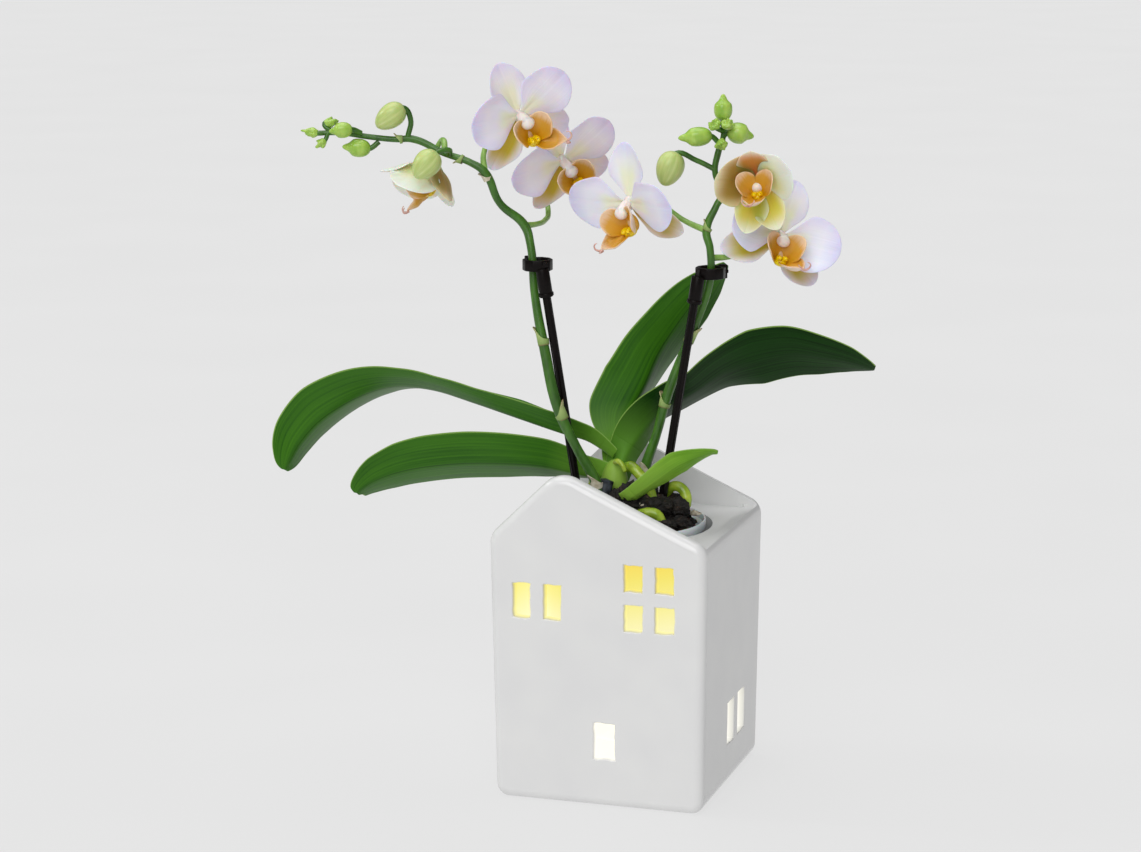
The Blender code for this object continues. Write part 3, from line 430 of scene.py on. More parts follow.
# The radius of the glaze round a window's rim, and how far the knife strayed.
RIM = 0.0006
STRAY = 0.0006


def wall_at(z):
    """How far the drafted outer face stands from the middle at this height."""
    return HALF - DRAFT * (1 - z / EAVES_Z)


def hand_cut(low, high, through, seed):
    """A window cutter that runs along axis 'through'. Its sides wander, and flare at the rim."""
    cutter = block("window", low, high)
    outward = Vector((1, 0, -DRAFT / EAVES_Z)) if through == 0 else Vector((0, -1, -DRAFT / EAVES_Z))
    bpy.ops.object.mode_set(mode="EDIT")
    choose(cutter, lambda e: abs(e.verts[0].co[through] - e.verts[1].co[through]) < 1e-5)
    bpy.ops.mesh.subdivide(number_cuts=5)
    for depth in (RIM, 0.5 * RIM, 0.12 * RIM, -0.3 * RIM):
        at = outward * (wall_at(0.0) - depth)
        bpy.ops.mesh.select_all(action="SELECT")
        bpy.ops.mesh.bisect(plane_co=(at.x, at.y, 0), plane_no=outward)
    bpy.ops.object.mode_set(mode="OBJECT")
    across = 1 - through
    for vertex in cutter.data.vertices:
        flat = vertex.co.copy()
        depth = wall_at(flat.z) - abs(flat[through])
        flat[through] = 0.0
        stray = noise.noise_vector(flat * 330.0 + Vector((seed, 0.0, seed))) * STRAY
        stray[through] = 0.0
        if depth < RIM:
            # A quarter round up to the outer face, and a straight flare beyond it.
            inside_rim = RIM - depth
            if depth > 0:
                flare = RIM - math.sqrt(RIM * RIM - inside_rim * inside_rim)
            else:
                flare = min(1.9 * RIM, RIM - 3 * depth)
            for axis in (across, 2):
                if min(flat[axis] - low[axis], high[axis] - flat[axis]) < 1e-6:
                    stray[axis] += math.copysign(flare, flat[axis] - (low[axis] + high[axis]) / 2)
        vertex.co += stray
    return cutter


for number, (left, right, bottom, top) in enumerate(FRONT_WINDOWS):
    subtract(house, hand_cut((left, -HALF - 0.004, bottom), (right, -HALF + 0.012, top), 1, number))
for number, (near, far, bottom, top) in enumerate(SIDE_WINDOWS):
    subtract(house, hand_cut((HALF - 0.012, near, bottom), (HALF + 0.004, far, top), 0, number + 20))
smooth(house, 35)
applied(house, "WEIGHTED_NORMAL", keep_sharp=True)


def carries_painted_lamplight(point):
    """True where the glaze gets painted lamplight: inside the lantern chamber, in the thickness of the
    openings, and on the outside of the cup.
    """
    rise = (point.z - WELL_FLOOR_Z) / (DECK_Z - WELL_FLOOR_Z)
    cup = blend(WELL_FLOOR_RADIUS, WELL_TOP_RADIUS, rise) + WELL_WALL / 2
    beside_cup = point.z < WELL_FLOOR_Z - WELL_WALL / 2 or math.hypot(point.x, point.y) > cup
    near, far = sorted((abs(point.x), abs(point.y)))
    if far < HALF - WALL + 0.0003:
        return 0.004 < point.z < DECK_UNDER_Z + 0.0003 and beside_cup
    low, high = (0.0045, 0.0475) if point.y > 0.03 else (0.018, 0.1135)
    return far < wall_at(point.z) - 0.0004 and near < 0.041 and low < point.z < high


paint(house, glaze, painted_lamplight_glaze)
# Faces inside the lantern and in its openings take the glaze with painted lamplight.
for face in house.data.polygons:
    face.material_index = int(carries_painted_lamplight(face.center))
dress(house, "white_glaze", "house_pot")

# %% [markdown]
# The lamp is a small plastic tealight. Its body is turned from a profile: a
# chain of vertices spun once round, which is how a lathe works. Its plastic
# carries a painted glow of the lamp's light. The flame is a teardrop of clear
# amber plastic round a light-emitting diode.

# %% Lamp finishes
# The cup's plastic glows by itself: painted light from the lamp inside it.
candle_with_painted_glow = mottled_finish("candle_plastic_with_painted_glow", "#8E8A7C", 0.35, 150.0,
                        ((0.3, "#88857A"), (0.7, "#96927F")),
                        Emission_Color=linear("#FFFCEF"), Emission_Strength=0.85)
flame_finish, tree, shader = finish("glowing_amber_plastic", "#FFC766", 0.2, Emission_Strength=1.2)
height = parts_of(tree, own_place(tree))["Z"]
tone = ramp(tree, ranged(tree, height, 0.019, 0.033), ((0.0, "#FFFBE4"), (1.0, "#FFC95C")))
tree.links.new(tone, shader.inputs["Emission Color"])


# %% Turning on a lathe
def turned(name, profile, steps=48):
    """A solid of revolution from (radius, height) pairs, spun round Z."""
    mesh = bpy.data.meshes.new(name)
    mesh.from_pydata([(r, 0.0, z) for r, z in profile], [(i, i + 1) for i in range(len(profile) - 1)], [])
    obj = bpy.data.objects.new(name, mesh)
    bpy.context.scene.collection.objects.link(obj)
    alone(obj)
    bpy.ops.object.mode_set(mode="EDIT")
    bpy.ops.mesh.select_all(action="SELECT")
    bpy.ops.mesh.spin(steps=steps, angle=2 * math.pi, center=(0, 0, 0), axis=(0, 0, 1))
    bpy.ops.mesh.select_all(action="SELECT")
    bpy.ops.mesh.remove_doubles(threshold=1e-6)
    bpy.ops.mesh.normals_make_consistent(inside=False)
    bpy.ops.object.mode_set(mode="OBJECT")
    return obj


lamp_low = FLOOR + 0.0003
lamp_top = lamp_low + 0.016
body = turned("tealight_cup", (
    (0.0, lamp_low), (0.0178, lamp_low), (0.0188, lamp_low + 0.0004), (0.019, lamp_low + 0.0014),
    (0.019, lamp_top - 0.0012), (0.0187, lamp_top - 0.0003), (0.0179, lamp_top), (0.0168, lamp_top - 0.0004),
    (0.0160, lamp_top - 0.0015), (0.0100, lamp_top - 0.0022), (0.0048, lamp_top - 0.0018),
    (0.0036, lamp_top - 0.0022), (0.0035, lamp_top - 0.004), (0.0, lamp_top - 0.004)))
dress(paint(smooth(body, 50), candle_with_painted_glow), "lamp_body", "tealight_body")
flame_low = lamp_top - 0.0037
flame = turned("tealight_glow", (
    (0.0, flame_low), (0.0028, flame_low), (0.0030, flame_low + 0.002), (0.0030, flame_low + 0.005),
    (0.0027, flame_low + 0.0075), (0.0019, flame_low + 0.0105), (0.0009, flame_low + 0.0132),
    (0.0, flame_low + 0.015)), 24)
dress(paint(smooth(flame, 60), flame_finish), "lamp_flame", "tealight_flame")

# %% [markdown]
# The nursery pot is a thin clear thermoformed cup, slightly milky, with a
# rolled rim that shows as a pale ring over the bark.

# %% Nursery pot
milky = mottled_finish("clear_thermoformed_plastic", "#EAF2F5", 0.25, 90.0,
                       ((0.3, "#E2ECF0"), (0.7, "#F2F7F9")),
                       IOR=1.45, Alpha=0.92, Subsurface_Weight=0.3, Subsurface_Scale=0.002)
BARK_EDGE_Z = 0.1165
pot_low = WELL_FLOOR_Z + 0.0003
pot = turned("nursery_pot_clear", (
    (0.0060, pot_low), (0.0250, pot_low), (0.0257, pot_low + 0.0006), (0.0335, 0.1169), (0.0340, 0.1176),
    (0.0349, 0.1178), (0.0350, 0.1185), (0.0350, 0.1208), (0.0346, 0.1214), (0.0341, 0.1214),
    (0.0339, 0.1208), (0.0338, 0.1186), (0.0330, 0.1178), (0.0325, 0.1172), (0.0247, pot_low + 0.0012),
    (0.0060, pot_low + 0.0010), (0.0060, pot_low)), 64)
dress(paint(smooth(pot, 40), milky), "clear_plastic", "grow_pot")

# %% [markdown]
# The bark mix is dark and damp: lumps of pine bark a few millimetres across,
# heaps of black moss and a few pale husks. One lumpy mound fills the pot. The
# heaps, the chips and the moss needles on it are all balls, each pushed about
# by noise and stretched, so a few hundred copies of one ball make them.

# %% Bark finishes
bark = mottled_finish("damp_pine_bark", "#2A1C12", 0.75, 420.0,
                      ((0.3, "#080706"), (0.52, "#15100B"), (0.66, "#2B1D12"), (0.80, "#5A3D22")), 6.0,
                      (0.0008, 0.8))
pale_bit = mottled_finish("pale_husk_bits", "#B9AE98", 0.7, 600.0, ((0.3, "#8F8069"), (0.7, "#D5CCB8")),
                          bumps=(0.0004, 1.0))

BARK_TOP_Z = 0.1310
BARK_RADIUS = 0.0318


def bark_height(x, y):
    """The mound's height at a place on it."""
    share = min(1.0, math.hypot(x, y) / BARK_RADIUS)
    lumps = noise.noise(Vector((x, y, 0.0)) * 160.0) * 0.0016 * (1 - ease(share, 0.8, 1.0))
    return BARK_TOP_Z - (BARK_TOP_Z - BARK_EDGE_Z) * share ** 2.2 + lumps - 0.0008


# %% Bark mound and chips
bpy.ops.object.select_all(action="DESELECT")
bpy.ops.mesh.primitive_cylinder_add(vertices=64, radius=1.0, depth=1.0, end_fill_type="NGON")
mound = named("bark_mound")
bpy.ops.object.mode_set(mode="EDIT")
shape = bmesh.from_edit_mesh(mound.data)
bpy.ops.mesh.select_all(action="DESELECT")
bpy.context.tool_settings.mesh_select_mode = (False, False, True)
for face in shape.faces:
    face.select = face.normal.z > 0.9
bmesh.update_edit_mesh(mound.data)
for ring in range(14):
    bpy.ops.mesh.inset(thickness=0.066)
bpy.ops.object.mode_set(mode="OBJECT")
for vertex in mound.data.vertices:
    if vertex.co.z > 0:
        x, y = vertex.co.x * BARK_RADIUS, vertex.co.y * BARK_RADIUS
        detail = noise.noise(Vector((x, y, 3.0)) * 420.0) * 0.0007
        rough = 1 - ease(math.hypot(x, y), 0.028, BARK_RADIUS)
        vertex.co = Vector((x, y, bark_height(x, y) + detail * rough))
    else:
        vertex.co = Vector((vertex.co.x * 0.0240, vertex.co.y * 0.0240, 0.0570))
smooth(mound, 60)
paint(mound, bark, pale_bit)

bpy.ops.object.select_all(action="DESELECT")
bpy.ops.mesh.primitive_ico_sphere_add(subdivisions=2, radius=1.0)
small_ball = paint(named("small_ball"), bark, pale_bit)
bpy.ops.object.select_all(action="DESELECT")
bpy.ops.mesh.primitive_ico_sphere_add(subdivisions=4, radius=1.0)
fine_ball = paint(named("fine_ball"), bark, pale_bit)


def lump(source, at, radii, turns, roughness, pale=False):
    """A copy of a ball, pushed about by noise, stretched, turned and put in its place."""
    obj = source.copy()
    obj.data = source.data.copy()
    bpy.context.scene.collection.objects.link(obj)
    seed = Vector(at) * 3000
    for vertex in obj.data.vertices:
        fine = noise.noise(vertex.co * 5.0 + seed) * 0.4 + noise.noise(vertex.co * 12.0 + seed) * 0.25
        vertex.co *= 1 + roughness * (noise.noise(vertex.co * 1.3 + seed) + fine)
    turn = Matrix.Rotation(turns[0], 4, "Z") @ Matrix.Rotation(turns[1], 4, "X")
    obj.data.transform(Matrix.Translation(at) @ turn @ Matrix.Diagonal((*radii, 1.0)))
    for face in obj.data.polygons:
        face.material_index = int(pale)
    return obj


pieces = [mound]
# Heaps of black moss: place and size in millimetres.
for x, y, z, across, deep, high in (
    (17, -4, 128, 6, 5, 5), (23, 1, 126, 6, 5, 4), (13, -10, 128, 5, 5, 4), (26, -5, 121, 5, 5, 4),
    (18, 5, 128, 6, 5, 5), (-2, -13, 131, 6, 4, 6), (3, -11, 134, 5, 4, 6), (7, 3, 133, 6, 6, 6),
    (-10, -13, 130, 6, 4, 6), (9, -4, 132, 5, 4, 5), (-16, -7, 128, 6, 6, 5), (-18, 5, 127, 7, 6, 5),
    (0, 12, 129, 8, 7, 5), (13, 13, 125, 6, 6, 4), (5, -18, 125, 6, 5, 4), (20, -13, 122, 6, 5, 3),
    (13, -10, 131, 5, 4, 4), (24, -3, 129, 5, 4, 4), (19, -7, 130, 4, 4, 3),
):
    size = Vector((across, deep, high)) / 1000
    pieces.append(lump(fine_ball, Vector((x, y, z)) / 1000, size, (chance.uniform(0, 3), 0.0), 0.45))
# Two bark chips to each moss needle, spread evenly over the mound.
for number in range(420):
    away = BARK_RADIUS * math.sqrt(chance.uniform(0.0, 0.84))
    turn = chance.uniform(0, 2 * math.pi)
    x, y = away * math.cos(turn), away * math.sin(turn)
    turns = (chance.uniform(0, 6.3), chance.uniform(-0.5, 0.5))
    if number % 3:
        size = chance.uniform(0.0008, 0.0028)
        radii = Vector((chance.uniform(0.9, 1.6), chance.uniform(0.7, 1.1), chance.uniform(0.4, 0.7))) * size
        pieces.append(lump(small_ball, (x, y, bark_height(x, y) + radii.z * 0.35), radii, turns, 0.35,
                           chance.random() < 0.05 and size < 0.0016))
    else:
        radii = (chance.uniform(0.0012, 0.0030), 0.00022, 0.00022)
        turns = (turns[0], chance.uniform(-1.2, 1.2))
        high = bark_height(x, y) + chance.uniform(0.0005, 0.0040)
        pieces.append(lump(small_ball, (x, y, high), radii, turns, 0.1))
# Pale husks on the bark, in millimetres.
for x, y, z in ((25.7, 6, 124.5), (29.0, 7.5, 123.5), (27.5, 8.5, 123.5), (10.5, -12, 131.0)):
    pieces.append(lump(small_ball, Vector((x, y, z)) / 1000, (0.0024, 0.0015, 0.0010),
                       (chance.uniform(0, 6), chance.uniform(-0.6, 0.6)), 0.5, True))
for source in (small_ball, fine_ball):
    bpy.data.objects.remove(source, do_unlink=True)
dress(joined("bark_and_moss", pieces), "bark_mix", "bark_mix")

# %% [markdown]
# A moth orchid's leaf is thick, leathery and glossy, deep green above and a
# little lighter beneath, with a creased midrib and a thin pale margin. Fine
# veins run its whole length. The pattern follows the blade through its UV map:
# U goes across from margin to margin, V from the stem to the tip.


# %% Leaf finish
def drawn_veins(tree, uv, scale, detail=2.0, distortion=0.0):
    """Noise drawn out along the blade into veins. The scale says how many run across and along it."""
    plugs = {"Vector": stretched(tree, uv, scale), "Scale": 1.0, "Detail": detail, "Distortion": distortion}
    return add(tree, "ShaderNodeTexNoise", plugs)


def blade_places(tree):
    """The UV map, how far up the blade a place is, and how far out from its midrib: 0.5 is the margin."""
    uv = add(tree, "ShaderNodeTexCoord").outputs["UV"]
    parts = parts_of(tree, uv)
    return uv, parts["Y"], calc(tree, "ABSOLUTE", calc(tree, "SUBTRACT", parts["X"], 0.5))


CROWN = (-0.002, -0.002, 0.143)


def leaf_finish(name, deep, fresh, foot, shine=0.22):
    """Leathery leaf: deep between the veins, fresh along them, paler near the crown and at its margins, with
    painted shade down the midrib.
    """
    material, tree, shader = finish(name, deep, 0.40, IOR=1.40, Specular_IOR_Level=shine)
    uv, _, out = blade_places(tree)
    # 34 veins across a 36 mm blade is about one a millimetre.
    veins = drawn_veins(tree, uv, (34.0, 1.6, 1.0))
    patches = add(tree, "ShaderNodeTexNoise", {"Vector": uv, "Scale": 3.0, "Detail": 2.0})
    colour = ramp(tree, veins.outputs["Fac"], ((0.30, deep), (0.75, fresh)))
    colour = mixed(tree, ranged(tree, patches.outputs["Fac"], 0.35, 0.75, 0.5), colour, fresh)
    # A dark line of painted shade follows the midrib crease.
    colour = mixed(tree, ranged(tree, out, 0.018, 0.0, 0.6), colour, "#12300E")
    # Within 36 mm of the crown the blade pales.
    away = add(tree, "ShaderNodeVectorMath", {0: own_place(tree), 1: CROWN}, operation="DISTANCE")
    colour = mixed(tree, ranged(tree, away.outputs["Value"], 0.036, 0.008), colour, foot)
    colour = mixed(tree, ranged(tree, out, 0.480, 0.495, 0.8), colour, "#8CAF57")
    tree.links.new(colour, shader.inputs["Base Color"])
    relief(tree, shader, veins, 0.0003, 0.25)
    return material


# The shaded blade is matter and darker with painted shade, the young one softer and yellower.
leaf_green = leaf_finish("leathery_leaf", "#23560F", "#437C18", "#74A836")
shaded_green = leaf_finish("shaded_leaf", "#0C2408", "#1A4210", "#5E9030", 0.08)
young_green = leaf_finish("young_leaf", "#56901F", "#80B434", "#97C04A")

# %% [markdown]
# Each blade starts as a flat grid. Every point of it is moved to its place
# round a curved midrib, given by listed stations: where the midrib runs,
# how wide the blade is there, which way it faces and how steeply its halves
# fold. A loft through so many turning sections is no job for a few extrusions,
# so the points are placed by that rule, and Solidify gives the blade its body.

# %% Leaf stations: midrib point, half width, facing azimuth and elevation, fold, in metres and degrees
LEAVES = {
    "leaf_1": (0.62, (
        ((-0.007, -0.001, 0.149), 0.0070, 40, 58, 36), ((-0.018, -0.002, 0.156), 0.0100, 45, 58, 38),
        ((-0.030, -0.006, 0.160), 0.0130, 45, 62, 38), ((-0.051, -0.010, 0.167), 0.0150, 40, 68, 34),
        ((-0.069, -0.013, 0.173), 0.0165, 42, 68, 24), ((-0.087, -0.018, 0.179), 0.0180, 70, 68, 12),
        ((-0.103, -0.025, 0.181), 0.0190, 115, 62, 8), ((-0.117, -0.033, 0.177), 0.0200, 143, 44, 14),
        ((-0.131, -0.043, 0.168), 0.0185, 144, 25, 22), ((-0.139, -0.050, 0.158), 0.0150, 146, 17, 24),
        ((-0.1425, -0.0545, 0.150), 0.0090, 150, 14, 20), ((-0.144, -0.056, 0.146), 0.0020, 150, 14, 8))),
    "leaf_2": (0.62, (
        ((-0.009, -0.002, 0.140), 0.0070, 95, 38, 36), ((-0.022, -0.003, 0.141), 0.0100, 95, 38, 30),
        ((-0.038, -0.005, 0.144), 0.0145, 97, 38, 20), ((-0.056, -0.009, 0.145), 0.0170, 103, 41, 16),
        ((-0.074, -0.014, 0.145), 0.0180, 113, 42, 15), ((-0.090, -0.022, 0.144), 0.0175, 123, 38, 15),
        ((-0.101, -0.028, 0.142), 0.0160, 131, 33, 15), ((-0.1095, -0.034, 0.139), 0.0130, 138, 30, 15),
        ((-0.1147, -0.038, 0.1355), 0.0085, 144, 30, 12), ((-0.1165, -0.039, 0.1335), 0.0020, 146, 30, 6))),
    "leaf_3": (0.80, (
        ((-0.007, 0.001, 0.141), 0.0050, 146, 4, 36), ((-0.007, 0.012, 0.153), 0.0105, 146, 4, 42),
        ((-0.006, 0.018, 0.164), 0.0195, 146, 4, 42), ((0.000, 0.024, 0.178), 0.0205, 147, 2, 36),
        ((0.005, 0.029, 0.192), 0.0185, 148, 2, 22), ((0.012, 0.032, 0.204), 0.0165, 148, 4, 12),
        ((0.019, 0.036, 0.2145), 0.0140, 146, 6, 6), ((0.026, 0.040, 0.2235), 0.0100, 144, 8, 4),
        ((0.0335, 0.0425, 0.2325), 0.0020, 142, 10, 2))),
    "leaf_4": (1.45, (
        ((-0.004, -0.003, 0.141), 0.0070, 108, -12, 40), ((-0.002, 0.002, 0.150), 0.0090, 118, 0, 35),
        ((0.004, 0.007, 0.160), 0.0120, 135, 15, 25), ((0.012, 0.014, 0.1695), 0.0140, 148, 32, 15),
        ((0.024, 0.022, 0.1765), 0.0170, 150, 40, 8), ((0.037, 0.027, 0.186), 0.0195, 138, 41, 4),
        ((0.051, 0.031, 0.1915), 0.0200, 118, 38, 3), ((0.066, 0.034, 0.1945), 0.0190, 103, 44, 3),
        ((0.080, 0.035, 0.1935), 0.0160, 92, 47, 3), ((0.093, 0.037, 0.1915), 0.0110, 84, 47, 4),
        ((0.104, 0.039, 0.1885), 0.0025, 80, 47, 2))),
    "leaf_5": (1.50, (
        ((-0.005, -0.005, 0.132), 0.0040, 118, 30, 20), ((0.003, -0.014, 0.133), 0.0045, 121, 30, 20),
        ((0.012, -0.014, 0.139), 0.0062, 126, 35, 18), ((0.020, -0.012, 0.145), 0.0075, 121, 33, 16),
        ((0.027, -0.012, 0.150), 0.0075, 116, 31, 16), ((0.035, -0.011, 0.154), 0.0060, 122, 46, 10),
        ((0.041, -0.010, 0.156), 0.0040, 120, 58, 6), ((0.044, -0.009, 0.156), 0.0014, 118, 60, 2))),
}


# %% A blade from a grid
def station_at(stations, where):
    """Midrib point, half width, face direction and fold at a station number that may be a fraction."""
    index = min(int(where), len(stations) - 2)
    share = where - index
    near = [stations[max(0, min(len(stations) - 1, index + k))] for k in (-1, 0, 1, 2)]
    p = [Vector(s[0]) for s in near]
    s2, s3 = share * share, share ** 3
    point = (p[1] * (2 * s3 - 3 * s2 + 1) + (p[2] - p[0]) / 2 * (s3 - 2 * s2 + share)
             + p[2] * (3 * s2 - 2 * s3) + (p[3] - p[1]) / 2 * (s3 - s2))
    a, b = near[1], near[2]
    face = direction(a[2], a[3]).lerp(direction(b[2], b[3]), share).normalized()
    return point, blend(a[1], b[1], share), face, math.radians(blend(a[4], b[4], share))


def drawn_grid(name, columns, rows, place):
    """A grid whose every point goes where place(across, share) says; its UV map keeps the two numbers."""
    bpy.ops.object.select_all(action="DESELECT")
    bpy.ops.mesh.primitive_grid_add(x_subdivisions=columns, y_subdivisions=rows, size=2.0)
    obj = named(name)
    spots = [place(v.co.x, (v.co.y + 1) / 2) for v in obj.data.vertices]
    for vertex, (point, _) in zip(obj.data.vertices, spots):
        vertex.co = point
    layer = obj.data.uv_layers.active.data
    for loop in obj.data.loops:
        layer[loop.index].uv = spots[loop.vertex_index][1]
    return obj


def blade(name, stations, start, end, columns, rows, thickness, wave=0.0):
    """A strip of leaf between two stations, folded along its midrib and thinner at its margins."""
    def place(across, share):
        where = blend(start, end, share)
        point, half_width, face, fold = station_at(stations, where)
        ahead = station_at(stations, min(where + 0.02, len(stations) - 1.0))[0]
        behind = station_at(stations, max(where - 0.02, 0.0))[0]
        forward = (ahead - behind).normalized()
        face = (face - forward * face.dot(forward)).normalized()
        side = forward.cross(face)
        lift = math.sqrt(across * across + 0.004) - math.sqrt(0.004)
        ripple = wave * math.sin(9.0 * share + 1.6 * across) * across * across * ease(share, 0.1, 0.4)
        spot = point + side * (half_width * across * math.cos(fold))
        return spot + face * (half_width * lift * math.sin(fold) + ripple), ((across + 1) / 2, share)

    obj = drawn_grid(name, columns, rows, place)
    thick = obj.vertex_groups.new(name="thick")
    for vertex in obj.data.vertices:
        across = abs(2 * (vertex.index % (columns + 1)) / columns - 1)
        weight = 1.0 - 0.6 * ease(across, 0.55, 1.0) + 0.5 * (1 - ease(across, 0.0, 0.12))
        thick.add([vertex.index], weight, "ADD")
    applied(obj, "SOLIDIFY", thickness=thickness, offset=0.0, vertex_group="thick", use_rim=True)
    applied(obj, "SUBSURF", levels=1, render_levels=1)
    return smooth(obj, 70)


BLADE_NAMES = {"leaf_1": "leaf_long_left", "leaf_2": "leaf_low_left", "leaf_3": "leaf_upright",
               "leaf_4": "leaf_right", "leaf_5": "leaf_young"}
BLADE_THICK = 0.0013
SHEATH_THICK = 0.0012
LEAF_FINISHES = {"leaf_4": shaded_green, "leaf_5": young_green}
for node, (joint, stations) in LEAVES.items():
    columns, rows, wave = (12, 30, 0.0) if node == "leaf_5" else (18, 60, 0.0006)
    piece = blade(BLADE_NAMES[node], stations, joint - 0.1, len(stations) - 1.0, columns, rows,
                  BLADE_THICK, wave)
    dress(paint(piece, LEAF_FINISHES.get(node, leaf_green)), "leaf_green", node)

# %% [markdown]
# Roots, crown and leaf sheaths grow as one. The roots are fat, smooth and
# yellow-green where they are damp. They come out of the crown and dive into the
# moss, the sheaths clasp the crown, and an old root has been cut to a dark
# stub. A root is a tube round a smooth curve whose thickness changes along it.

# %% Fleshy finishes
root_skin = mottled_finish("damp_root_skin", "#8FA83A", 0.22, 130.0,
                           ((0.25, "#55701C"), (0.5, "#8FAC2A"), (0.75, "#C2D458")), 4.0,
                           Subsurface_Weight=0.12, Subsurface_Scale=0.003)
stub_grey = mottled_finish("old_dark_stub", "#23272B", 0.6, 500.0, ((0.3, "#15181B"), (0.7, "#3C444C")),
                           bumps=(0.0006, 1.0))
papery = mottled_finish("papery_sheath", "#C9C0A8", 0.6, 350.0,
                        ((0.3, "#A99A7E"), (0.55, "#D2CAB4"), (0.75, "#E4DECF")))
sheath_skin = leaf_finish("crown_skin", "#4F8222", "#6E9E34", "#8FB548")


def stem_finish(name, low, high, roughness=0.36):
    """Waxy stem with faint streaks along it."""
    material, tree, shader = finish(name, low, roughness, Subsurface_Weight=0.08, Subsurface_Scale=0.002)
    streaks = stretched(tree, own_place(tree), (260.0, 260.0, 70.0))
    mottled(tree, shader, 1.0, ((0.3, low), (0.7, high)), vector=streaks)
    return material


stem_green = stem_finish("waxy_stem", "#2A5212", "#487A20")
pedicel_green = stem_finish("pale_pedicel", "#6E9A3C", "#93B85E")
bract_skin, tree, shader = finish("drying_bract", "#A9B878", 0.5)
_, up, _ = blade_places(tree)
tone = ramp(tree, up, ((0.0, "#6E5B38"), (0.10, "#7E9A50"), (0.55, "#A3B870"), (0.9, "#B5AC7E"),
                       (1.0, "#8A6C48")))
tree.links.new(tone, shader.inputs["Base Color"])
bud_green, tree, shader = finish("bud_skin", "#A9B968", 0.34, Subsurface_Weight=0.2, Subsurface_Scale=0.003)
stripes = stretched(tree, add(tree, "ShaderNodeTexCoord").outputs["UV"], (26.0, 2.0, 1.0))
mottled(tree, shader, 1.0, ((0.25, "#A9BE68"), (0.6, "#C0CE82"), (0.85, "#D3DBA0")), 2.0, stripes)
young_bud = stem_finish("young_bud_skin", "#88B33C", "#B0D060", 0.26)


# %% Tubes along curves
def tube(name, route, radii, sides=4, steps=6):
    """A round tube of changing thickness along a smooth curve, as a mesh."""
    bpy.ops.object.select_all(action="DESELECT")
    bpy.ops.curve.primitive_bezier_curve_add()
    obj = named(name)
    data = obj.data
    spline = data.splines[0]
    spline.bezier_points.add(len(route) - 2)
    for knot, point, radius in zip(spline.bezier_points, route, radii):
        knot.handle_left_type = knot.handle_right_type = "AUTO"
        knot.co = point
        knot.radius = radius
    data.bevel_depth = 1.0
    data.bevel_resolution = sides
    data.resolution_u = steps
    data.use_fill_caps = True
    bpy.ops.object.convert(target="MESH")
    bpy.ops.object.mode_set(mode="EDIT")
    bpy.ops.mesh.select_all(action="SELECT")
    bpy.ops.mesh.remove_doubles(threshold=1e-6)
    bpy.ops.mesh.normals_make_consistent(inside=False)
    bpy.ops.object.mode_set(mode="OBJECT")
    return smooth(obj, 50)


def ball(name, radii, centre, segments=24, rings=16):
    bpy.ops.object.select_all(action="DESELECT")
    bpy.ops.mesh.primitive_uv_sphere_add(segments=segments, ring_count=rings, radius=1.0, location=centre,
                                         scale=radii)
    return smooth(grounded(named(name)), 60)


# %% Crown, sheaths and roots
ROOTS = (
    (((0.0005, -0.0030, 0.1455), (0.0034, -0.0060, 0.1462), (0.0075, -0.0075, 0.1432),
      (0.0112, -0.0080, 0.1392), (0.0132, -0.0080, 0.1340), (0.0140, -0.0078, 0.1280)), 0.0024),
    (((0.0140, 0.0030, 0.1270), (0.0165, 0.0032, 0.1328), (0.0202, 0.0030, 0.1365),
      (0.0243, 0.0025, 0.1357), (0.0266, 0.0017, 0.1320), (0.0270, 0.0010, 0.1290)), 0.0024),
    (((0.0040, -0.0125, 0.1236), (0.0085, -0.0140, 0.1262), (0.0130, -0.0142, 0.1276),
      (0.0172, -0.0140, 0.1270), (0.0198, -0.0136, 0.1236)), 0.0024),
    (((-0.0045, -0.0060, 0.1480), (-0.0025, -0.0080, 0.1488), (-0.0002, -0.0088, 0.1474),
      (0.0008, -0.0090, 0.1452)), 0.0012),
    (((-0.0100, 0.0040, 0.1380), (-0.0150, 0.0080, 0.1400), (-0.0195, 0.0110, 0.1365),
      (-0.0215, 0.0125, 0.1260)), 0.0022),
)
pieces = [paint(ball("crown", (0.0064, 0.0062, 0.0135), (-0.0060, -0.0020, 0.1350)), sheath_skin)]
for node, (joint, stations) in LEAVES.items():
    pieces.append(paint(blade("sheath", stations, 0.0, joint, 12, 14, SHEATH_THICK),
                        LEAF_FINISHES.get(node, leaf_green)))
for route, radius in ROOTS:
    radii = [radius * chance.uniform(0.94, 1.06) for _ in route]
    radii[-1] = radius * 0.85
    pieces.append(paint(tube("root", route, radii, 6, 10), root_skin))
    pieces.append(paint(ball("root_tip", [radius * 0.85] * 3, route[-1], 16, 10), root_skin))
stub = tube("old_stub", ((-0.0078, -0.0142, 0.1280), (-0.0075, -0.0140, 0.1340), (-0.0062, -0.0132, 0.1412)),
            (0.0036, 0.0034, 0.0030), 8, 10)
for vertex in stub.data.vertices:
    vertex.co += noise.noise_vector(vertex.co * 500.0) * 0.0009
pieces.append(paint(stub, stub_grey))
dress(joined("crown_sheaths_and_roots", pieces), "root_green", "crown_and_roots")

# %% [markdown]
# A moth orchid's flower has three sepals behind and two broad petals before
# them. Each is a thin, slightly cupped blade on a narrow claw. All are made
# from one rule with their own numbers, so a grid is drawn into a disc, narrowed
# to its claw, cupped, and given a soft ripple at its margin. The tissue is
# translucent and satin, lilac-white, cream near the heart and faintly veined,
# and the lower sepals turn olive and tan towards their feet. The lip is waxy
# amber: two side lobes like shells, a tongue with two tendrils, a gold callus.


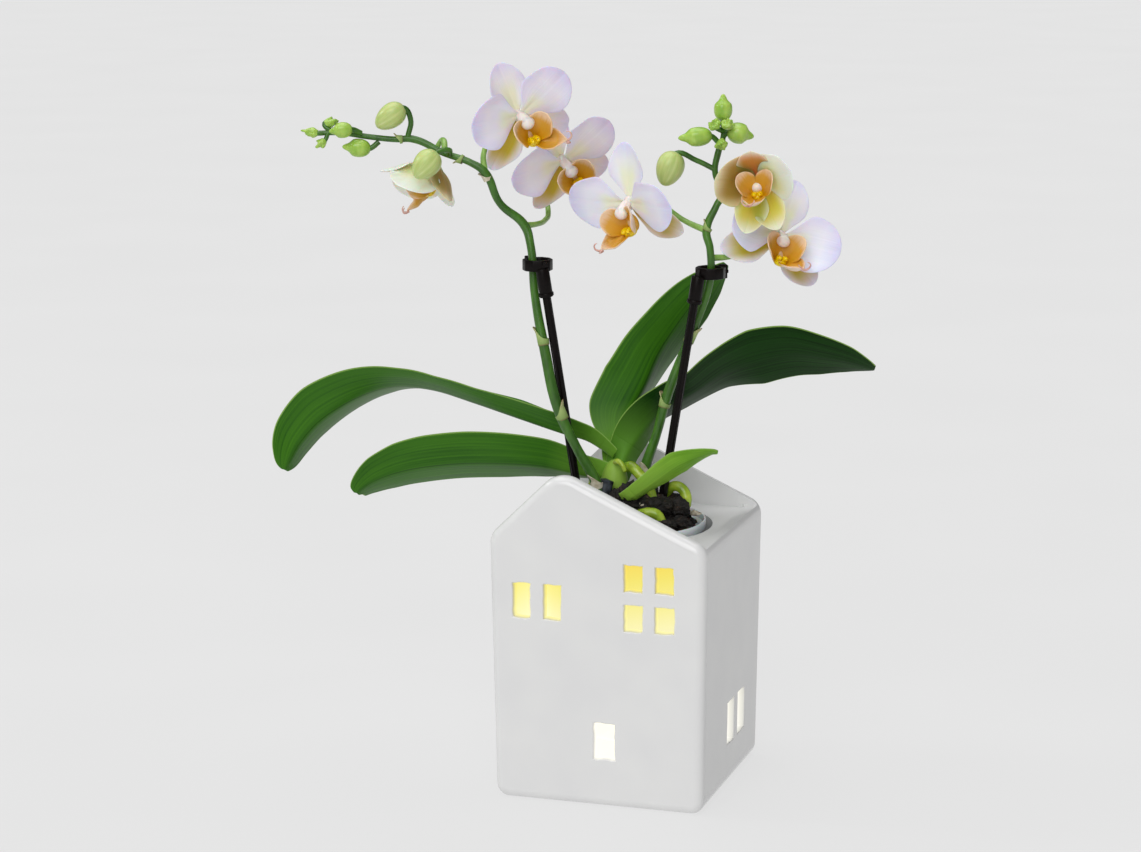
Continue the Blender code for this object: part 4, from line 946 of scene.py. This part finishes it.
# %% Petal finishes
def petal_finish(name, heart, middle, rim, blush, blush_width, reach=0.75):
    """Thin satin tissue, coloured from its claw (V = 0) to its tip (V = 1), with a blush up its middle."""
    material, tree, shader = finish(name, middle, 0.5, Subsurface_Weight=0.35, Subsurface_Scale=0.004,
                                    Sheen_Weight=0.15)
    uv, up, out = blade_places(tree)
    # Veins fan out from the claw, about 1.2 mm apart at the widest.
    veins = drawn_veins(tree, uv, (22.0, 1.2, 1.0), 2.5, 0.3)
    shift = calc(tree, "MULTIPLY_ADD", veins.outputs["Fac"], 0.12, up)
    colour = ramp(tree, shift, ((0.05, heart), (0.30, middle), (0.75, middle), (1.0, rim)))
    # The margin is the thinnest part; its blue-lilac is painted light, the sky side showing through.
    colour = mixed(tree, ranged(tree, out, 0.26, 0.50, 0.8), colour, rim)
    # The blush is full over the inner two fifths of its width and a little over half of its reach.
    inner = ranged(tree, out, blush_width, 0.4 * blush_width, interpolation_type="SMOOTHSTEP")
    near = ranged(tree, up, reach, 0.55 * reach, interpolation_type="SMOOTHSTEP")
    colour = mixed(tree, calc(tree, "MULTIPLY", inner, near), colour, blush)
    tree.links.new(colour, shader.inputs["Base Color"])
    relief(tree, shader, veins, 0.0004, 0.35)
    return material


petal_open = petal_finish("lilac_petal", "#F5F4D6", "#F1ECFA", "#D9D6F5", "#F6F4E0", 0.26, 0.55)
sepal_dorsal = petal_finish("cream_sepal", "#F2F2CE", "#F3EDEE", "#E0DCF4", "#F3F0D4", 0.30, 0.72)
sepal_plain = petal_finish("pinkish_sepal", "#F0E9C8", "#F3E8EC", "#E2DBF2", "#F2E8DE", 0.36)
sepal_olive = petal_finish("olive_footed_sepal", "#A29C12", "#EADFD4", "#E4DCF2", "#B0A912", 0.50, 1.06)
sepal_tan = petal_finish("tan_sepal", "#9A941C", "#DDC9A0", "#E2D6DE", "#B0A62C", 0.52, 1.10)
tepal_green = petal_finish("greenish_young_tepal", "#D6DD92", "#E8EBD4", "#EEEEE8", "#DCE2A0", 0.45)
tepal_olive = petal_finish("olive_young_tepal", "#857618", "#A89840", "#E6DEB8", "#8A7A1E", 0.50, 1.05)
tepal_amber = petal_finish("amber_young_tepal", "#B87E20", "#C6984A", "#F0E2D0", "#BC8628", 0.50, 1.05)
tepal_lemon = petal_finish("lemon_young_tepal", "#C8C02C", "#E0D880", "#F2ECD0", "#D2C840", 0.50, 0.95)
# Each bloom's five finishes: dorsal sepal, right and left petal, right and left lateral sepal.
TINTS = {
    "bloom_1": (tepal_green, tepal_green, tepal_green, tepal_olive, tepal_green),
    "bloom_2": (sepal_dorsal, petal_open, petal_open, sepal_plain, sepal_olive),
    "bloom_3": (sepal_dorsal, petal_open, petal_open, sepal_plain, sepal_olive),
    "bloom_4": (sepal_dorsal, petal_open, petal_open, sepal_tan, sepal_plain),
    "bloom_5": (sepal_dorsal, petal_open, petal_open, sepal_olive, sepal_olive),
    "bloom_6": (tepal_amber, tepal_green, tepal_olive, tepal_lemon, tepal_lemon),
}

# %% Lip finishes: waxy amber inside, pinkish tan outside, gold at its heart
def lip_finish(name, heart, deep, middle, rim):
    """Waxy tissue, coloured from its foot to its rim, with darker veins that fan out."""
    material, tree, shader = finish(name, middle, 0.34, Subsurface_Weight=0.10, Subsurface_Scale=0.002)
    uv, up, out = blade_places(tree)
    veins = drawn_veins(tree, uv, (18.0, 1.5, 1.0))
    reach = calc(tree, "ADD", up, ranged(tree, out, 0.34, 0.5, 0.25))
    shift = calc(tree, "MULTIPLY_ADD", veins.outputs["Fac"], 0.22, reach)
    tone = ramp(tree, shift, ((0.08, heart), (0.35, deep), (0.80, middle), (1.0, rim)))
    tree.links.new(tone, shader.inputs["Base Color"])
    return material


lip_amber = lip_finish("waxy_amber_lip", "#EEC400", "#CE9410", "#D8A440", "#EBC9A4")
lip_back = lip_finish("waxy_lip_outside", "#E0AC20", "#DDB56A", "#E4C6A4", "#EFDCD2")
callus_gold = mottled_finish("golden_callus", "#F2D000", 0.32, 1500.0,
                             ((0.60, "#F2D000"), (0.70, "#B06A12")), 1.0,
                             Subsurface_Weight=0.15, Subsurface_Scale=0.002)
column_pink = mottled_finish("waxy_column", "#F0E2E0", 0.3, 300.0,
                             ((0.3, "#E8D0CC"), (0.55, "#F3E8E4"), (0.75, "#F4ECD8")),
                             Subsurface_Weight=0.25, Subsurface_Scale=0.003)
tendril_pink = mottled_finish("tendril_tips", "#D0A092", 0.4, 400.0, ((0.3, "#C08474"), (0.7, "#E2BEB2")),
                              Subsurface_Weight=0.1, Subsurface_Scale=0.001)


# %% Blooms: centre, facing, roll, then how high and how far forward the petals and sepals stand
BLOOMS = {
    "bloom_1": ((-0.086, -0.018, 0.283), (-136, -62), 29, (16, 50), (-46, 38), 38, 0.92, 0.0030),
    "bloom_2": ((-0.0435, -0.0225, 0.3047), (-45, -12), 28, (24, 22), (-38, -6), 0, 1.0, 0.0),
    "bloom_3": ((-0.034, 0.010, 0.2815), (-43, -25), 32, (20, 14), (-44, -6), -8, 1.0, 0.0),
    "bloom_4": ((0.002, -0.006, 0.266), (-106, -22), 0, (6, 20), (-32, -8), -14, 1.0, 0.0),
    "bloom_5": ((0.0636, 0.0226, 0.2492), (-61, 4), -22, (5, 26), (-28, -4), -14, 1.0, 0.0),
    "bloom_6": ((0.0567, 0.0085, 0.2757), (-80, -6), 8, (20, 52), (-68, 34), 46, 0.92, 0.0030),
}


def bloom_frame(centre, facing, roll, size):
    """The bloom's own frame: X to the viewer's right, Y up its dorsal sepal, Z the way it faces."""
    front = direction(*facing)
    upright = (Vector((0, 0, 1)) - front * front.z).normalized()
    up = Matrix.Rotation(math.radians(roll), 3, front) @ upright
    turn = Matrix((up.cross(front), up, front)).transposed().to_4x4()
    return Matrix.Translation(centre) @ turn @ Matrix.Scale(size, 4)


def spread(foot, angle, rise):
    """Where a blade stands: its foot, its angle round the bloom's face and its lean forward."""
    return (Matrix.Translation(foot) @ Matrix.Rotation(math.radians(angle - 90), 4, "Z")
            @ Matrix.Rotation(math.radians(rise), 4, "X"))


def aimed(foot, aim, face):
    """A blade that grows from its foot towards aim, its hollow side towards face."""
    aim, face = Vector(aim).normalized(), Vector(face)
    face = (face - aim * face.dot(aim)).normalized()
    return Matrix.Translation(foot) @ Matrix((aim.cross(face), aim, face)).transposed().to_4x4()


TISSUE_THICK = 0.0005


def tepal(name, turn, length, width, claw, cup, hollow, wave, tip_bend, seed=0.0, point=0.0):
    """A petal or sepal, or a lobe of the lip: the same rule as the solid's, on a finer grid."""
    def place(x, share):
        y = 2 * share - 1
        across = x * math.sqrt(1 - y * y / 2)
        share = (y * math.sqrt(1 - x * x / 2) + 1) / 2
        narrow = blend(claw, 1.0, ease(share, 0.0, 0.5)) * (1 - point * ease(share, 0.6, 1.0))
        height = cup * length * share * share + hollow * width * across * across
        height += wave * math.sin(math.pi * (2.3 * share + 0.7 * across)) * abs(across)
        # A finer ripple runs round the margin, and the midrib lies a little lower.
        height += 0.35 * wave * math.sin(11 * share + 5 * across + seed) * abs(across) ** 3
        height -= 0.012 * length * math.exp(-(across / 0.09) ** 2) * ease(share, 0.0, 0.2)
        height -= tip_bend * max(0.0, share - 0.7)
        spot = turn @ Vector((across * width / 2 * narrow, length * share, height))
        return spot, ((across + 1) / 2, share)

    obj = drawn_grid(name, 14, 18, place)
    applied(obj, "SOLIDIFY", thickness=TISSUE_THICK, offset=0.0)
    applied(obj, "SUBSURF", levels=1, render_levels=1)
    return smooth(obj, 80)


# %% Make the six blooms
# Length, width, the claw's share of it, cup, hollow, ripple and how far the tip bends back.
DORSAL = (0.0265, 0.0175, 0.34, 0.05, 0.10, 0.0006, 0.002)
PETAL = (0.0275, 0.0255, 0.20, -0.10, 0.03, 0.0009, 0.001)
LATERAL = (0.0265, 0.0165, 0.40, 0.03, 0.10, 0.0007, 0.0)
MIDDLE_LOBE = (0.0138, 0.0094, 0.60, -0.04, 0.28, 0.0002, -0.008)
SIDE_LOBE = (0.0126, 0.0104, 0.62, 0.10, 0.20, 0.0003, 0.0)


def make_petals(node, petal, lateral, dorsal, seed):
    """The five tepals of a bloom, in their own finishes."""
    tints = TINTS[node]
    stand = spread((0, 0, -0.0012), 90, dorsal)
    pieces = [paint(tepal("dorsal", stand, *DORSAL, seed, 0.12), tints[0])]
    for side in (0, 1):
        stand = spread((0, 0, 0.0007), (petal[0], 180 - petal[0])[side], petal[1])
        pieces.append(paint(tepal("petal", stand, *PETAL, seed + side), tints[1 + side]))
        stand = spread((0, -0.0020, -0.0010), (lateral[0], 180 - lateral[0])[side], lateral[1])
        pieces.append(paint(tepal("lateral", stand, *LATERAL, seed + 2 + side, 0.15), tints[3 + side]))
    return pieces


def two_sided(obj, front, face, back):
    """The inner face's finish where the skin looks along front, the outer face's elsewhere."""
    paint(obj, face, back)
    for polygon in obj.data.polygons:
        polygon.material_index = int(polygon.normal.dot(front) < -0.15)
    return obj


# The way each middle lobe points in its bloom's frame, how far the lip is turned about the column in
# degrees, how far it stands up towards the dorsal sepal and forward, and the finish of its outside.
LIPS = {
    "bloom_1": ((0.05, 0.30, 0.95), 0, 0.0045, 0.0032, lip_amber),
    "bloom_2": ((0.70, -0.14, 0.70), -4, -0.0008, 0.0, lip_back),
    "bloom_3": ((0.25, -0.50, 0.83), 6, 0.0, 0.0, lip_back),
    "bloom_4": ((-0.55, -0.12, 0.82), 14, -0.0008, 0.0, lip_back),
    "bloom_5": ((0.45, -0.15, 0.88), 12, -0.0006, 0.0, lip_back),
    "bloom_6": ((-0.22, -0.10, 0.97), 0, 0.0048, 0.0, lip_back),
}
LIP_SIZE = 1.2


def make_lip(seed, aim, outside):
    """Two side lobes like shells round the column, a pointed middle lobe, the callus and two tendrils."""
    aim = Vector(aim)
    tongue = aimed((0, -0.0092, 0.0052), aim, (-aim.x * 0.3, 0.85, 0.35))
    middle = tepal("middle_lobe", tongue, *MIDDLE_LOBE, seed, 0.55)
    pieces = [
        two_sided(middle, tongue.col[2].to_3d(), lip_amber, outside),
        paint(ball("lip_foot", (0.0024, 0.0036, 0.0020), (0, -0.0066, 0.0030), 20, 12), lip_amber),
        paint(ball("callus", (0.0025, 0.0018, 0.0027), (0, -0.0088, 0.0062), 20, 12), callus_gold),
    ]
    for side in (1, -1):
        wall = aimed((0.0013 * side, -0.0092, 0.0048), (0.50 * side, 0.80, 0.30), (-0.74 * side, 0.10, 0.66))
        lobe = tepal("side_lobe", wall, *SIDE_LOBE, seed + side)
        pieces.append(two_sided(lobe, wall.col[2].to_3d(), lip_amber, outside))
        tooth = ball("callus_tooth", (0.0012, 0.0012, 0.0024), (0.0011 * side, -0.0076, 0.0074), 14, 10)
        pieces.append(paint(tooth, callus_gold))
        # The tendril curls back from the tongue's tip, in millimetres along the tongue.
        curl = [tongue @ Vector((0.001 * x * side, 0.001 * y, 0.001 * z)) for x, y, z in (
            (0.2, 13.4, 1.0), (0.9, 14.8, 1.6), (1.9, 15.2, 2.6), (2.5, 14.4, 3.4), (2.2, 13.4, 3.6))]
        tendril = tube("tendril", curl, (0.0005, 0.0004, 0.0003, 0.00024, 0.00016), 2, 6)
        pieces.append(paint(tendril, tendril_pink))
    return pieces


def make_bloom(node, centre, facing, roll, petal, lateral, dorsal, size, lip_lift):
    """A bloom with its column and neck, and its lip, each in its place on the spike."""
    seed = 1.7 * int(node[-1])
    pieces = make_petals(node, petal, lateral, dorsal, seed)
    column = tube("column", ((0, 0, 0.001), (0, -0.0006, 0.0045), (0, -0.0018, 0.0076)),
                  (0.0022, 0.0024, 0.0028))
    neck = tube("neck", ((0, 0, -0.0040), (0, 0, -0.002), (0, 0, 0)), (0.0013, 0.0015, 0.0018))
    pieces += [
        paint(ball("heart", (0.0026, 0.0034, 0.0024), (0, -0.0008, 0)), column_pink),
        paint(neck, pedicel_green),
        paint(column, column_pink),
        paint(ball("anther_cap", (0.0031, 0.0027, 0.0025), (0, -0.0020, 0.0078)), column_pink),
    ]
    stand = bloom_frame(centre, facing, roll, size)
    bloom = joined("orchid_" + node, pieces)
    bloom.data.transform(stand)
    dress(bloom, "petal_white", node)
    aim, turn, up, forward, outside = LIPS[node]
    lip = joined("orchid_" + node.replace("bloom", "lip"), make_lip(seed, aim, outside))
    lip.data.transform(stand @ Matrix.Translation((0, up, lip_lift + forward))
                       @ Matrix.Rotation(math.radians(turn), 4, "Z") @ Matrix.Scale(LIP_SIZE, 4))
    dress(lip, "lip_amber", node.replace("bloom", "lip"))


for node, values in BLOOMS.items():
    make_bloom(node, *values)

# %% [markdown]
# Each spike is a waxy green stem that zigzags from node to node. At each node
# a small pointed bract clasps it, and from the upper nodes a pedicel carries a
# bloom or a bud. Stems and pedicels are tubes; a bud is a ball drawn out to an
# egg, with three faint grooves where its sepals meet.

# %% Spike routes, in metres
# For each spike: its stem, the pedicel of each bloom, its buds (stalk, tip and radius) and its bracts
# (the place along the stem, the side of its point, its length and finish).
NECK = 0.0040
SPIKES = {
    "spike_left": (
        ((-0.009, -0.013, 0.125), (-0.010, -0.016, 0.139), (-0.018, -0.021, 0.157), (-0.026, -0.023, 0.175),
         (-0.0322, -0.022, 0.200), (-0.0374, -0.020, 0.225), (-0.040, -0.018, 0.247), (-0.043, -0.017, 0.255),
         (-0.053, -0.021, 0.265), (-0.059, -0.024, 0.279), (-0.065, -0.025, 0.283), (-0.077, -0.026, 0.287),
         (-0.091, -0.028, 0.293), (-0.098, -0.031, 0.293), (-0.108, -0.034, 0.294), (-0.121, -0.039, 0.296),
         (-0.130, -0.042, 0.296)),
        {"bloom_1": ((-0.077, -0.026, 0.287), (-0.080, -0.019, 0.292)),
         "bloom_2": ((-0.059, -0.024, 0.279), (-0.061, -0.019, 0.287), (-0.058, -0.013, 0.296),
                     (-0.053, -0.0125, 0.303)),
         "bloom_3": ((-0.043, -0.017, 0.255), (-0.0405, -0.008, 0.2545), (-0.041, 0.006, 0.2545),
                     (-0.044, 0.0195, 0.257), (-0.047, 0.024, 0.266), (-0.044, 0.022, 0.276))},
        ((((-0.075, -0.026, 0.286), (-0.073, -0.031, 0.289), (-0.077, -0.037, 0.288)),
          (-0.086, -0.041, 0.277), 0.0063),
         (((-0.093, -0.029, 0.294), (-0.092, -0.028, 0.302), (-0.095, -0.030, 0.307)),
          (-0.107, -0.033, 0.298), 0.0058),
         (((-0.105, -0.033, 0.292), (-0.109, -0.035, 0.289)), (-0.121, -0.039, 0.290), 0.0042),
         (((-0.112, -0.037, 0.296), (-0.115, -0.041, 0.298)), (-0.125, -0.044, 0.297), 0.0036),
         (((-0.124, -0.040, 0.296), (-0.128, -0.040, 0.300)), (-0.122, -0.036, 0.301), 0.0022),
         (((-0.128, -0.042, 0.296), (-0.130, -0.043, 0.296)), (-0.137, -0.044, 0.297), 0.0022),
         (((-0.126, -0.041, 0.296), (-0.127, -0.042, 0.293)), (-0.131, -0.044, 0.289), 0.0020)),
        ((0.95, (-0.6, -0.6, 0), 0.0070, papery), (2.70, (1, 0.2, 0), 0.0085, bract_skin),
         (4.10, (-1, 0, 0), 0.0090, bract_skin), (8.75, (-1, 0, 0), 0.0045, papery),
         (10.3, (0, 0, -1), 0.0040, bract_skin), (12.6, (0, 0, 1), 0.0040, bract_skin))),
    "spike_right": (
        ((0.004, 0.002, 0.122), (0.006, 0.002, 0.140), (0.0125, 0.003, 0.161), (0.0165, 0.0035, 0.1765),
         (0.0220, 0.006, 0.1925), (0.0285, 0.008, 0.2095), (0.035, 0.009, 0.230), (0.035, 0.009, 0.244),
         (0.033, 0.010, 0.252), (0.037, 0.012, 0.263), (0.039, 0.014, 0.268), (0.036, 0.013, 0.278),
         (0.037, 0.014, 0.286), (0.039, 0.015, 0.293), (0.039, 0.015, 0.301)),
        {"bloom_4": ((0.033, 0.010, 0.252), (0.022, 0.012, 0.256), (0.011, 0.009, 0.264)),
         "bloom_5": ((0.035, 0.009, 0.240), (0.043, 0.018, 0.240), (0.054, 0.029, 0.245)),
         "bloom_6": ((0.038, 0.014, 0.268), (0.046, 0.016, 0.267), (0.053, 0.018, 0.271))},
        ((((0.036, 0.013, 0.279), (0.028, 0.011, 0.283), (0.019, 0.008, 0.286)),
          (0.014, 0.006, 0.271), 0.0066),
         (((0.038, 0.014, 0.290), (0.034, 0.012, 0.294)), (0.020, 0.006, 0.293), 0.0044),
         (((0.039, 0.015, 0.298), (0.039, 0.015, 0.301)), (0.039, 0.015, 0.313), 0.0042),
         (((0.039, 0.015, 0.293), (0.0415, 0.0155, 0.296)), (0.0525, 0.020, 0.293), 0.0048),
         (((0.039, 0.014, 0.296), (0.037, 0.010, 0.298)), (0.036, 0.007, 0.301), 0.0027),
         (((0.039, 0.014, 0.296), (0.042, 0.011, 0.298)), (0.043, 0.008, 0.302), 0.0027),
         (((0.039, 0.015, 0.292), (0.040, 0.010, 0.291)), (0.040, 0.006, 0.290), 0.0027)),
        ((1.05, (-0.5, -0.8, 0), 0.0060, papery), (2.75, (-1, 0.2, 0), 0.0065, bract_skin),
         (4.55, (1, 0, 0), 0.0085, bract_skin), (8.0, (-1, 0, 0), 0.0045, bract_skin),
         (10.0, (1, 0, 0), 0.0035, bract_skin))),
}
# The stations that are nodes of the stem, where it is a little swollen.
NODES = {"spike_left": (1, 3, 4, 7, 9, 12), "spike_right": (1, 3, 4, 8, 10, 12)}


# %% Stems, bracts and buds
def bud(foot, tip, radius):
    """An unopened bud with three grooves that meet at its tip. The young ones end in a beak."""
    foot, tip = Vector(foot), Vector(tip)
    length = (tip - foot).length
    young = radius < 0.0050
    obj = ball("bud", (1, 1, 1), (0, 0, 0), 36, 24)
    for vertex in obj.data.vertices:
        share = (vertex.co.z + 1) / 2
        turn = math.atan2(vertex.co.y, vertex.co.x)
        groove = 1 - 0.06 * abs(math.cos(1.5 * turn)) ** 18 * ease(share, 0.05, 0.4)
        girth = radius * (1.08 - 0.30 * share) * groove
        if young:
            beak = ease(share, 0.60, 0.82)
            girth *= blend(1.04, 0.62, beak)
        height = length * (share - 0.06)
        vertex.co = Vector((vertex.co.x * girth, vertex.co.y * girth, height))
        if radius < 0.0030:
            vertex.co *= 1 + 0.35 * noise.noise(vertex.co * 700.0 + foot * 999.0)
    obj.data.transform(along(foot, tip))
    return paint(obj, young_bud if young else bud_green)


def bract(here, forward, towards, thick, length, material):
    """A sheath that clasps the stem, its rim rising to a point on one side."""
    def place(x, share):
        angle = math.pi * x
        rise = 0.30 + 0.70 * ((1 + math.cos(angle)) / 2) ** 2
        radius = thick * (1.10 + 0.12 * share) + 0.0009 * ease(share * rise, 0.6, 1.0)
        spot = Vector((radius * math.cos(angle), radius * math.sin(angle), length * share * rise))
        return spot, ((x + 1) / 2, share * rise)

    obj = drawn_grid("bract", 24, 10, place)
    applied(obj, "SOLIDIFY", thickness=0.0003, offset=1.0)
    side = Vector(towards)
    side = (side - forward * side.dot(forward)).normalized()
    stand = Matrix((side, forward.cross(side), forward)).transposed().to_4x4()
    obj.data.transform(Matrix.Translation(here) @ stand)
    return paint(smooth(obj, 70), material)


STEM_RADIUS = 0.0019
PEDICEL_RADIUS = 0.0012


def stem_radius(share):
    """The stem is thickest at its foot, and half as thick at its tip."""
    return STEM_RADIUS * (1.22 - 0.62 * share)


for node, (stem, pedicels, buds, bracts) in SPIKES.items():
    last = len(stem) - 1
    swell = NODES[node]
    radii = [stem_radius(i / last) * (1.14 if i in swell else 0.97) for i in range(last + 1)]
    pieces = [paint(tube("stem", stem, radii, 6, 10), stem_green)]
    for bloom_node, route in pedicels.items():
        centre, facing = Vector(BLOOMS[bloom_node][0]), direction(*BLOOMS[bloom_node][1])
        back = NECK * BLOOMS[bloom_node][6] + 0.0001
        points = [*map(Vector, route), centre - facing * (back + 0.0035), centre - facing * back]
        radii = [0.0015, *[PEDICEL_RADIUS] * (len(points) - 2), 0.00125]
        pieces.append(paint(tube("pedicel", points, radii, 5, 8), pedicel_green))
    for route, tip, radius in buds:
        points = [Vector(p) for p in route]
        points.append(points[-1].lerp(Vector(tip), 0.12))
        thin = min(PEDICEL_RADIUS, radius * 0.5)
        pieces.append(paint(tube("stalk", points, [thin] * len(points), 3, 6), stem_green))
        pieces.append(bud(route[-1], tip, radius))
    for where, towards, length, material in bracts:
        index = int(where)
        here = Vector(stem[index]).lerp(Vector(stem[index + 1]), where - index)
        forward = (Vector(stem[index + 1]) - Vector(stem[index])).normalized()
        pieces.append(bract(here, forward, towards, stem_radius(where / last), length, material))
    dress(joined(node.replace("spike", "flower_spike"), pieces), "stem_green", node)

# %% [markdown]
# The spikes lean on black fluted sticks, moulded in polypropylene, and each is
# held by a small clip: a ring that closes round the stem and a socket pushed
# over the stick. The flutes catch the light as thin lines along the stick.

# %% Black plastic
black = mottled_finish("black_polypropylene", "#0B0808", 0.34, 900.0, ((0.3, "#080606"), (0.7, "#130D0C")),
                       bumps=(0.0001, 0.3), IOR=1.49, Specular_IOR_Level=0.12)
STICKS = {
    "left": ((-0.0195, -0.0150, 0.136), (-0.0325, -0.0215, 0.231), (-0.0367, -0.0180, 0.238)),
    "right": ((0.0165, -0.0010, 0.134), (0.0305, 0.0030, 0.227), (0.0352, 0.0090, 0.2335)),
}
STICK_RADIUS = 0.0019
STICK_FOOT_Z = 0.085
UPRIGHT = Vector((0, 0, 1))
RING_OUT, RING_IN, RING_HIGH = 0.0068, 0.0050, 0.005


# %% Sticks and clips
def rod(name, start, end, radius, sides, rounding=0.0):
    """A straight bar between two points, its end rims bevelled."""
    start, end = Vector(start), Vector(end)
    bpy.ops.object.select_all(action="DESELECT")
    bpy.ops.mesh.primitive_cylinder_add(vertices=sides, radius=radius, depth=(end - start).length)
    obj = named(name)
    obj.data.transform(along(start, end) @ Matrix.Translation((0, 0, (end - start).length / 2)))
    if rounding:
        applied(obj, "BEVEL", width=rounding, segments=2, limit_method="ANGLE", angle_limit=math.radians(60))
    return obj


for label, (foot, top, ring_centre) in STICKS.items():
    foot, top, ring_centre = Vector(foot), Vector(top), Vector(ring_centre)
    lean = (top - foot).normalized()
    low = foot + lean * (STICK_FOOT_Z - foot.z) / lean.z
    length = (top - low).length
    bpy.ops.object.select_all(action="DESELECT")
    bpy.ops.mesh.primitive_cylinder_add(vertices=48, radius=STICK_RADIUS, depth=length,
                                        location=(0, 0, length / 2))
    stick = grounded(named("support_stick_" + label))
    for vertex in stick.data.vertices:
        turn = math.atan2(vertex.co.y, vertex.co.x)
        flute = 1 - 0.16 * (0.5 - 0.5 * math.cos(8 * turn)) ** 0.6
        vertex.co.x *= flute
        vertex.co.y *= flute
    stick.data.transform(along(low, top))
    dress(paint(smooth(stick, 35), black), "black_plastic", "stick_" + label)

    half = RING_HIGH / 2
    ring = rod("ring", ring_centre - UPRIGHT * half, ring_centre + UPRIGHT * half, RING_OUT, 10)
    subtract(ring, rod("hole", ring_centre - UPRIGHT * 0.01, ring_centre + UPRIGHT * 0.01, RING_IN, 10))
    applied(ring, "BEVEL", width=0.0004, segments=2, limit_method="ANGLE", angle_limit=math.radians(30))
    reach = ring_centre.z - half - top.z + 0.0015
    towards = Vector((top.x - ring_centre.x, top.y - ring_centre.y, 0.0)).normalized()
    pieces = [
        ring,
        rod("socket", top - lean * 0.007, top + lean * reach, 0.0030, 16, 0.0004),
        rod("collar", top - lean * 0.0066, top - lean * 0.0050, 0.0034, 16, 0.0003),
        rod("tongue", ring_centre + towards * (RING_IN + 0.0012) + UPRIGHT * (half - 0.0006),
            top + lean * (reach - 0.002), 0.0015, 8, 0.0003),
    ]
    away = Matrix.Translation(ring_centre) @ Matrix.Rotation(math.atan2(-towards.y, -towards.x), 4, "Z")
    for low_z, high_z, out in ((-half - 0.0006, half + 0.0006, 0.0018), (-0.0008, 0.0008, 0.0024)):
        latch = block("latch", (RING_OUT - 0.0012, -0.0019, low_z), (RING_OUT + out - 0.0004, 0.0019, high_z))
        applied(latch, "BEVEL", width=0.0003, segments=2)
        latch.data.transform(away)
        pieces.append(latch)
    clip = joined("stem_clip_" + label, [paint(p, black) for p in pieces])
    dress(smooth(clip, 35), "black_plastic", "clip_" + label)

# %% [markdown]
# The studio is plain: a pale floor, an even pale surround, and four lamps. Two
# broad suns do most of the work, one in front and one overhead. Their wide
# angle softens the shadows and keeps the white petals from burning out. A small
# lamp on the left lights the house's corner, and one in front lays short
# highlights on glaze, leaves and buds. The floor shines faintly by itself, so
# that it looks as even and pale as a lit sheet behind a product.

# %% Floor, surround and lamps
floor_paint = mottled_finish("backlit_floor_sheet", "#5A5A5A", 0.9, 6.0,
                             ((0.3, "#585858"), (0.7, "#5C5C5C")), 1.0, Emission_Color=linear("#FFFFFF"),
                             Emission_Strength=0.675, Specular_IOR_Level=0.0)
bpy.ops.object.select_all(action="DESELECT")
bpy.ops.mesh.primitive_plane_add(size=60.0)
floor = paint(named("studio_floor"), floor_paint)

world = bpy.data.worlds.new("studio")
bpy.context.scene.world = world
world.use_nodes = True
backdrop = world.node_tree.nodes["Background"]
backdrop.inputs["Color"].default_value = linear("#E6E6E8")
backdrop.inputs["Strength"].default_value = 0.20

PLANT_MIDDLE = Vector((0, 0, 0.15))
LAMP_AWAY = 1.8


def lamp(name, kind, towards, strength, **settings):
    """A soft lamp on the side that 'towards' (azimuth, elevation) gives, aimed at the plant."""
    data = bpy.data.lights.new(name, kind)
    data.energy = strength
    for key, value in settings.items():
        setattr(data, key, value)
    obj = bpy.data.objects.new(name, data)
    bpy.context.scene.collection.objects.link(obj)
    obj.location = PLANT_MIDDLE + direction(*towards) * LAMP_AWAY
    obj.rotation_mode = "QUATERNION"
    obj.rotation_quaternion = (-direction(*towards)).to_track_quat("-Z", "Y")


lamp("front_softbox", "SUN", (-89, 32), 1.58, angle=math.radians(45))
lamp("top_softbox", "SUN", (150, 78), 1.80, angle=math.radians(60))
lamp("left_softbox", "AREA", (-172, 30), 4.4, size=0.25)
lamp("small_front_lamp", "AREA", (-66, 49), 1.2, size=0.10)
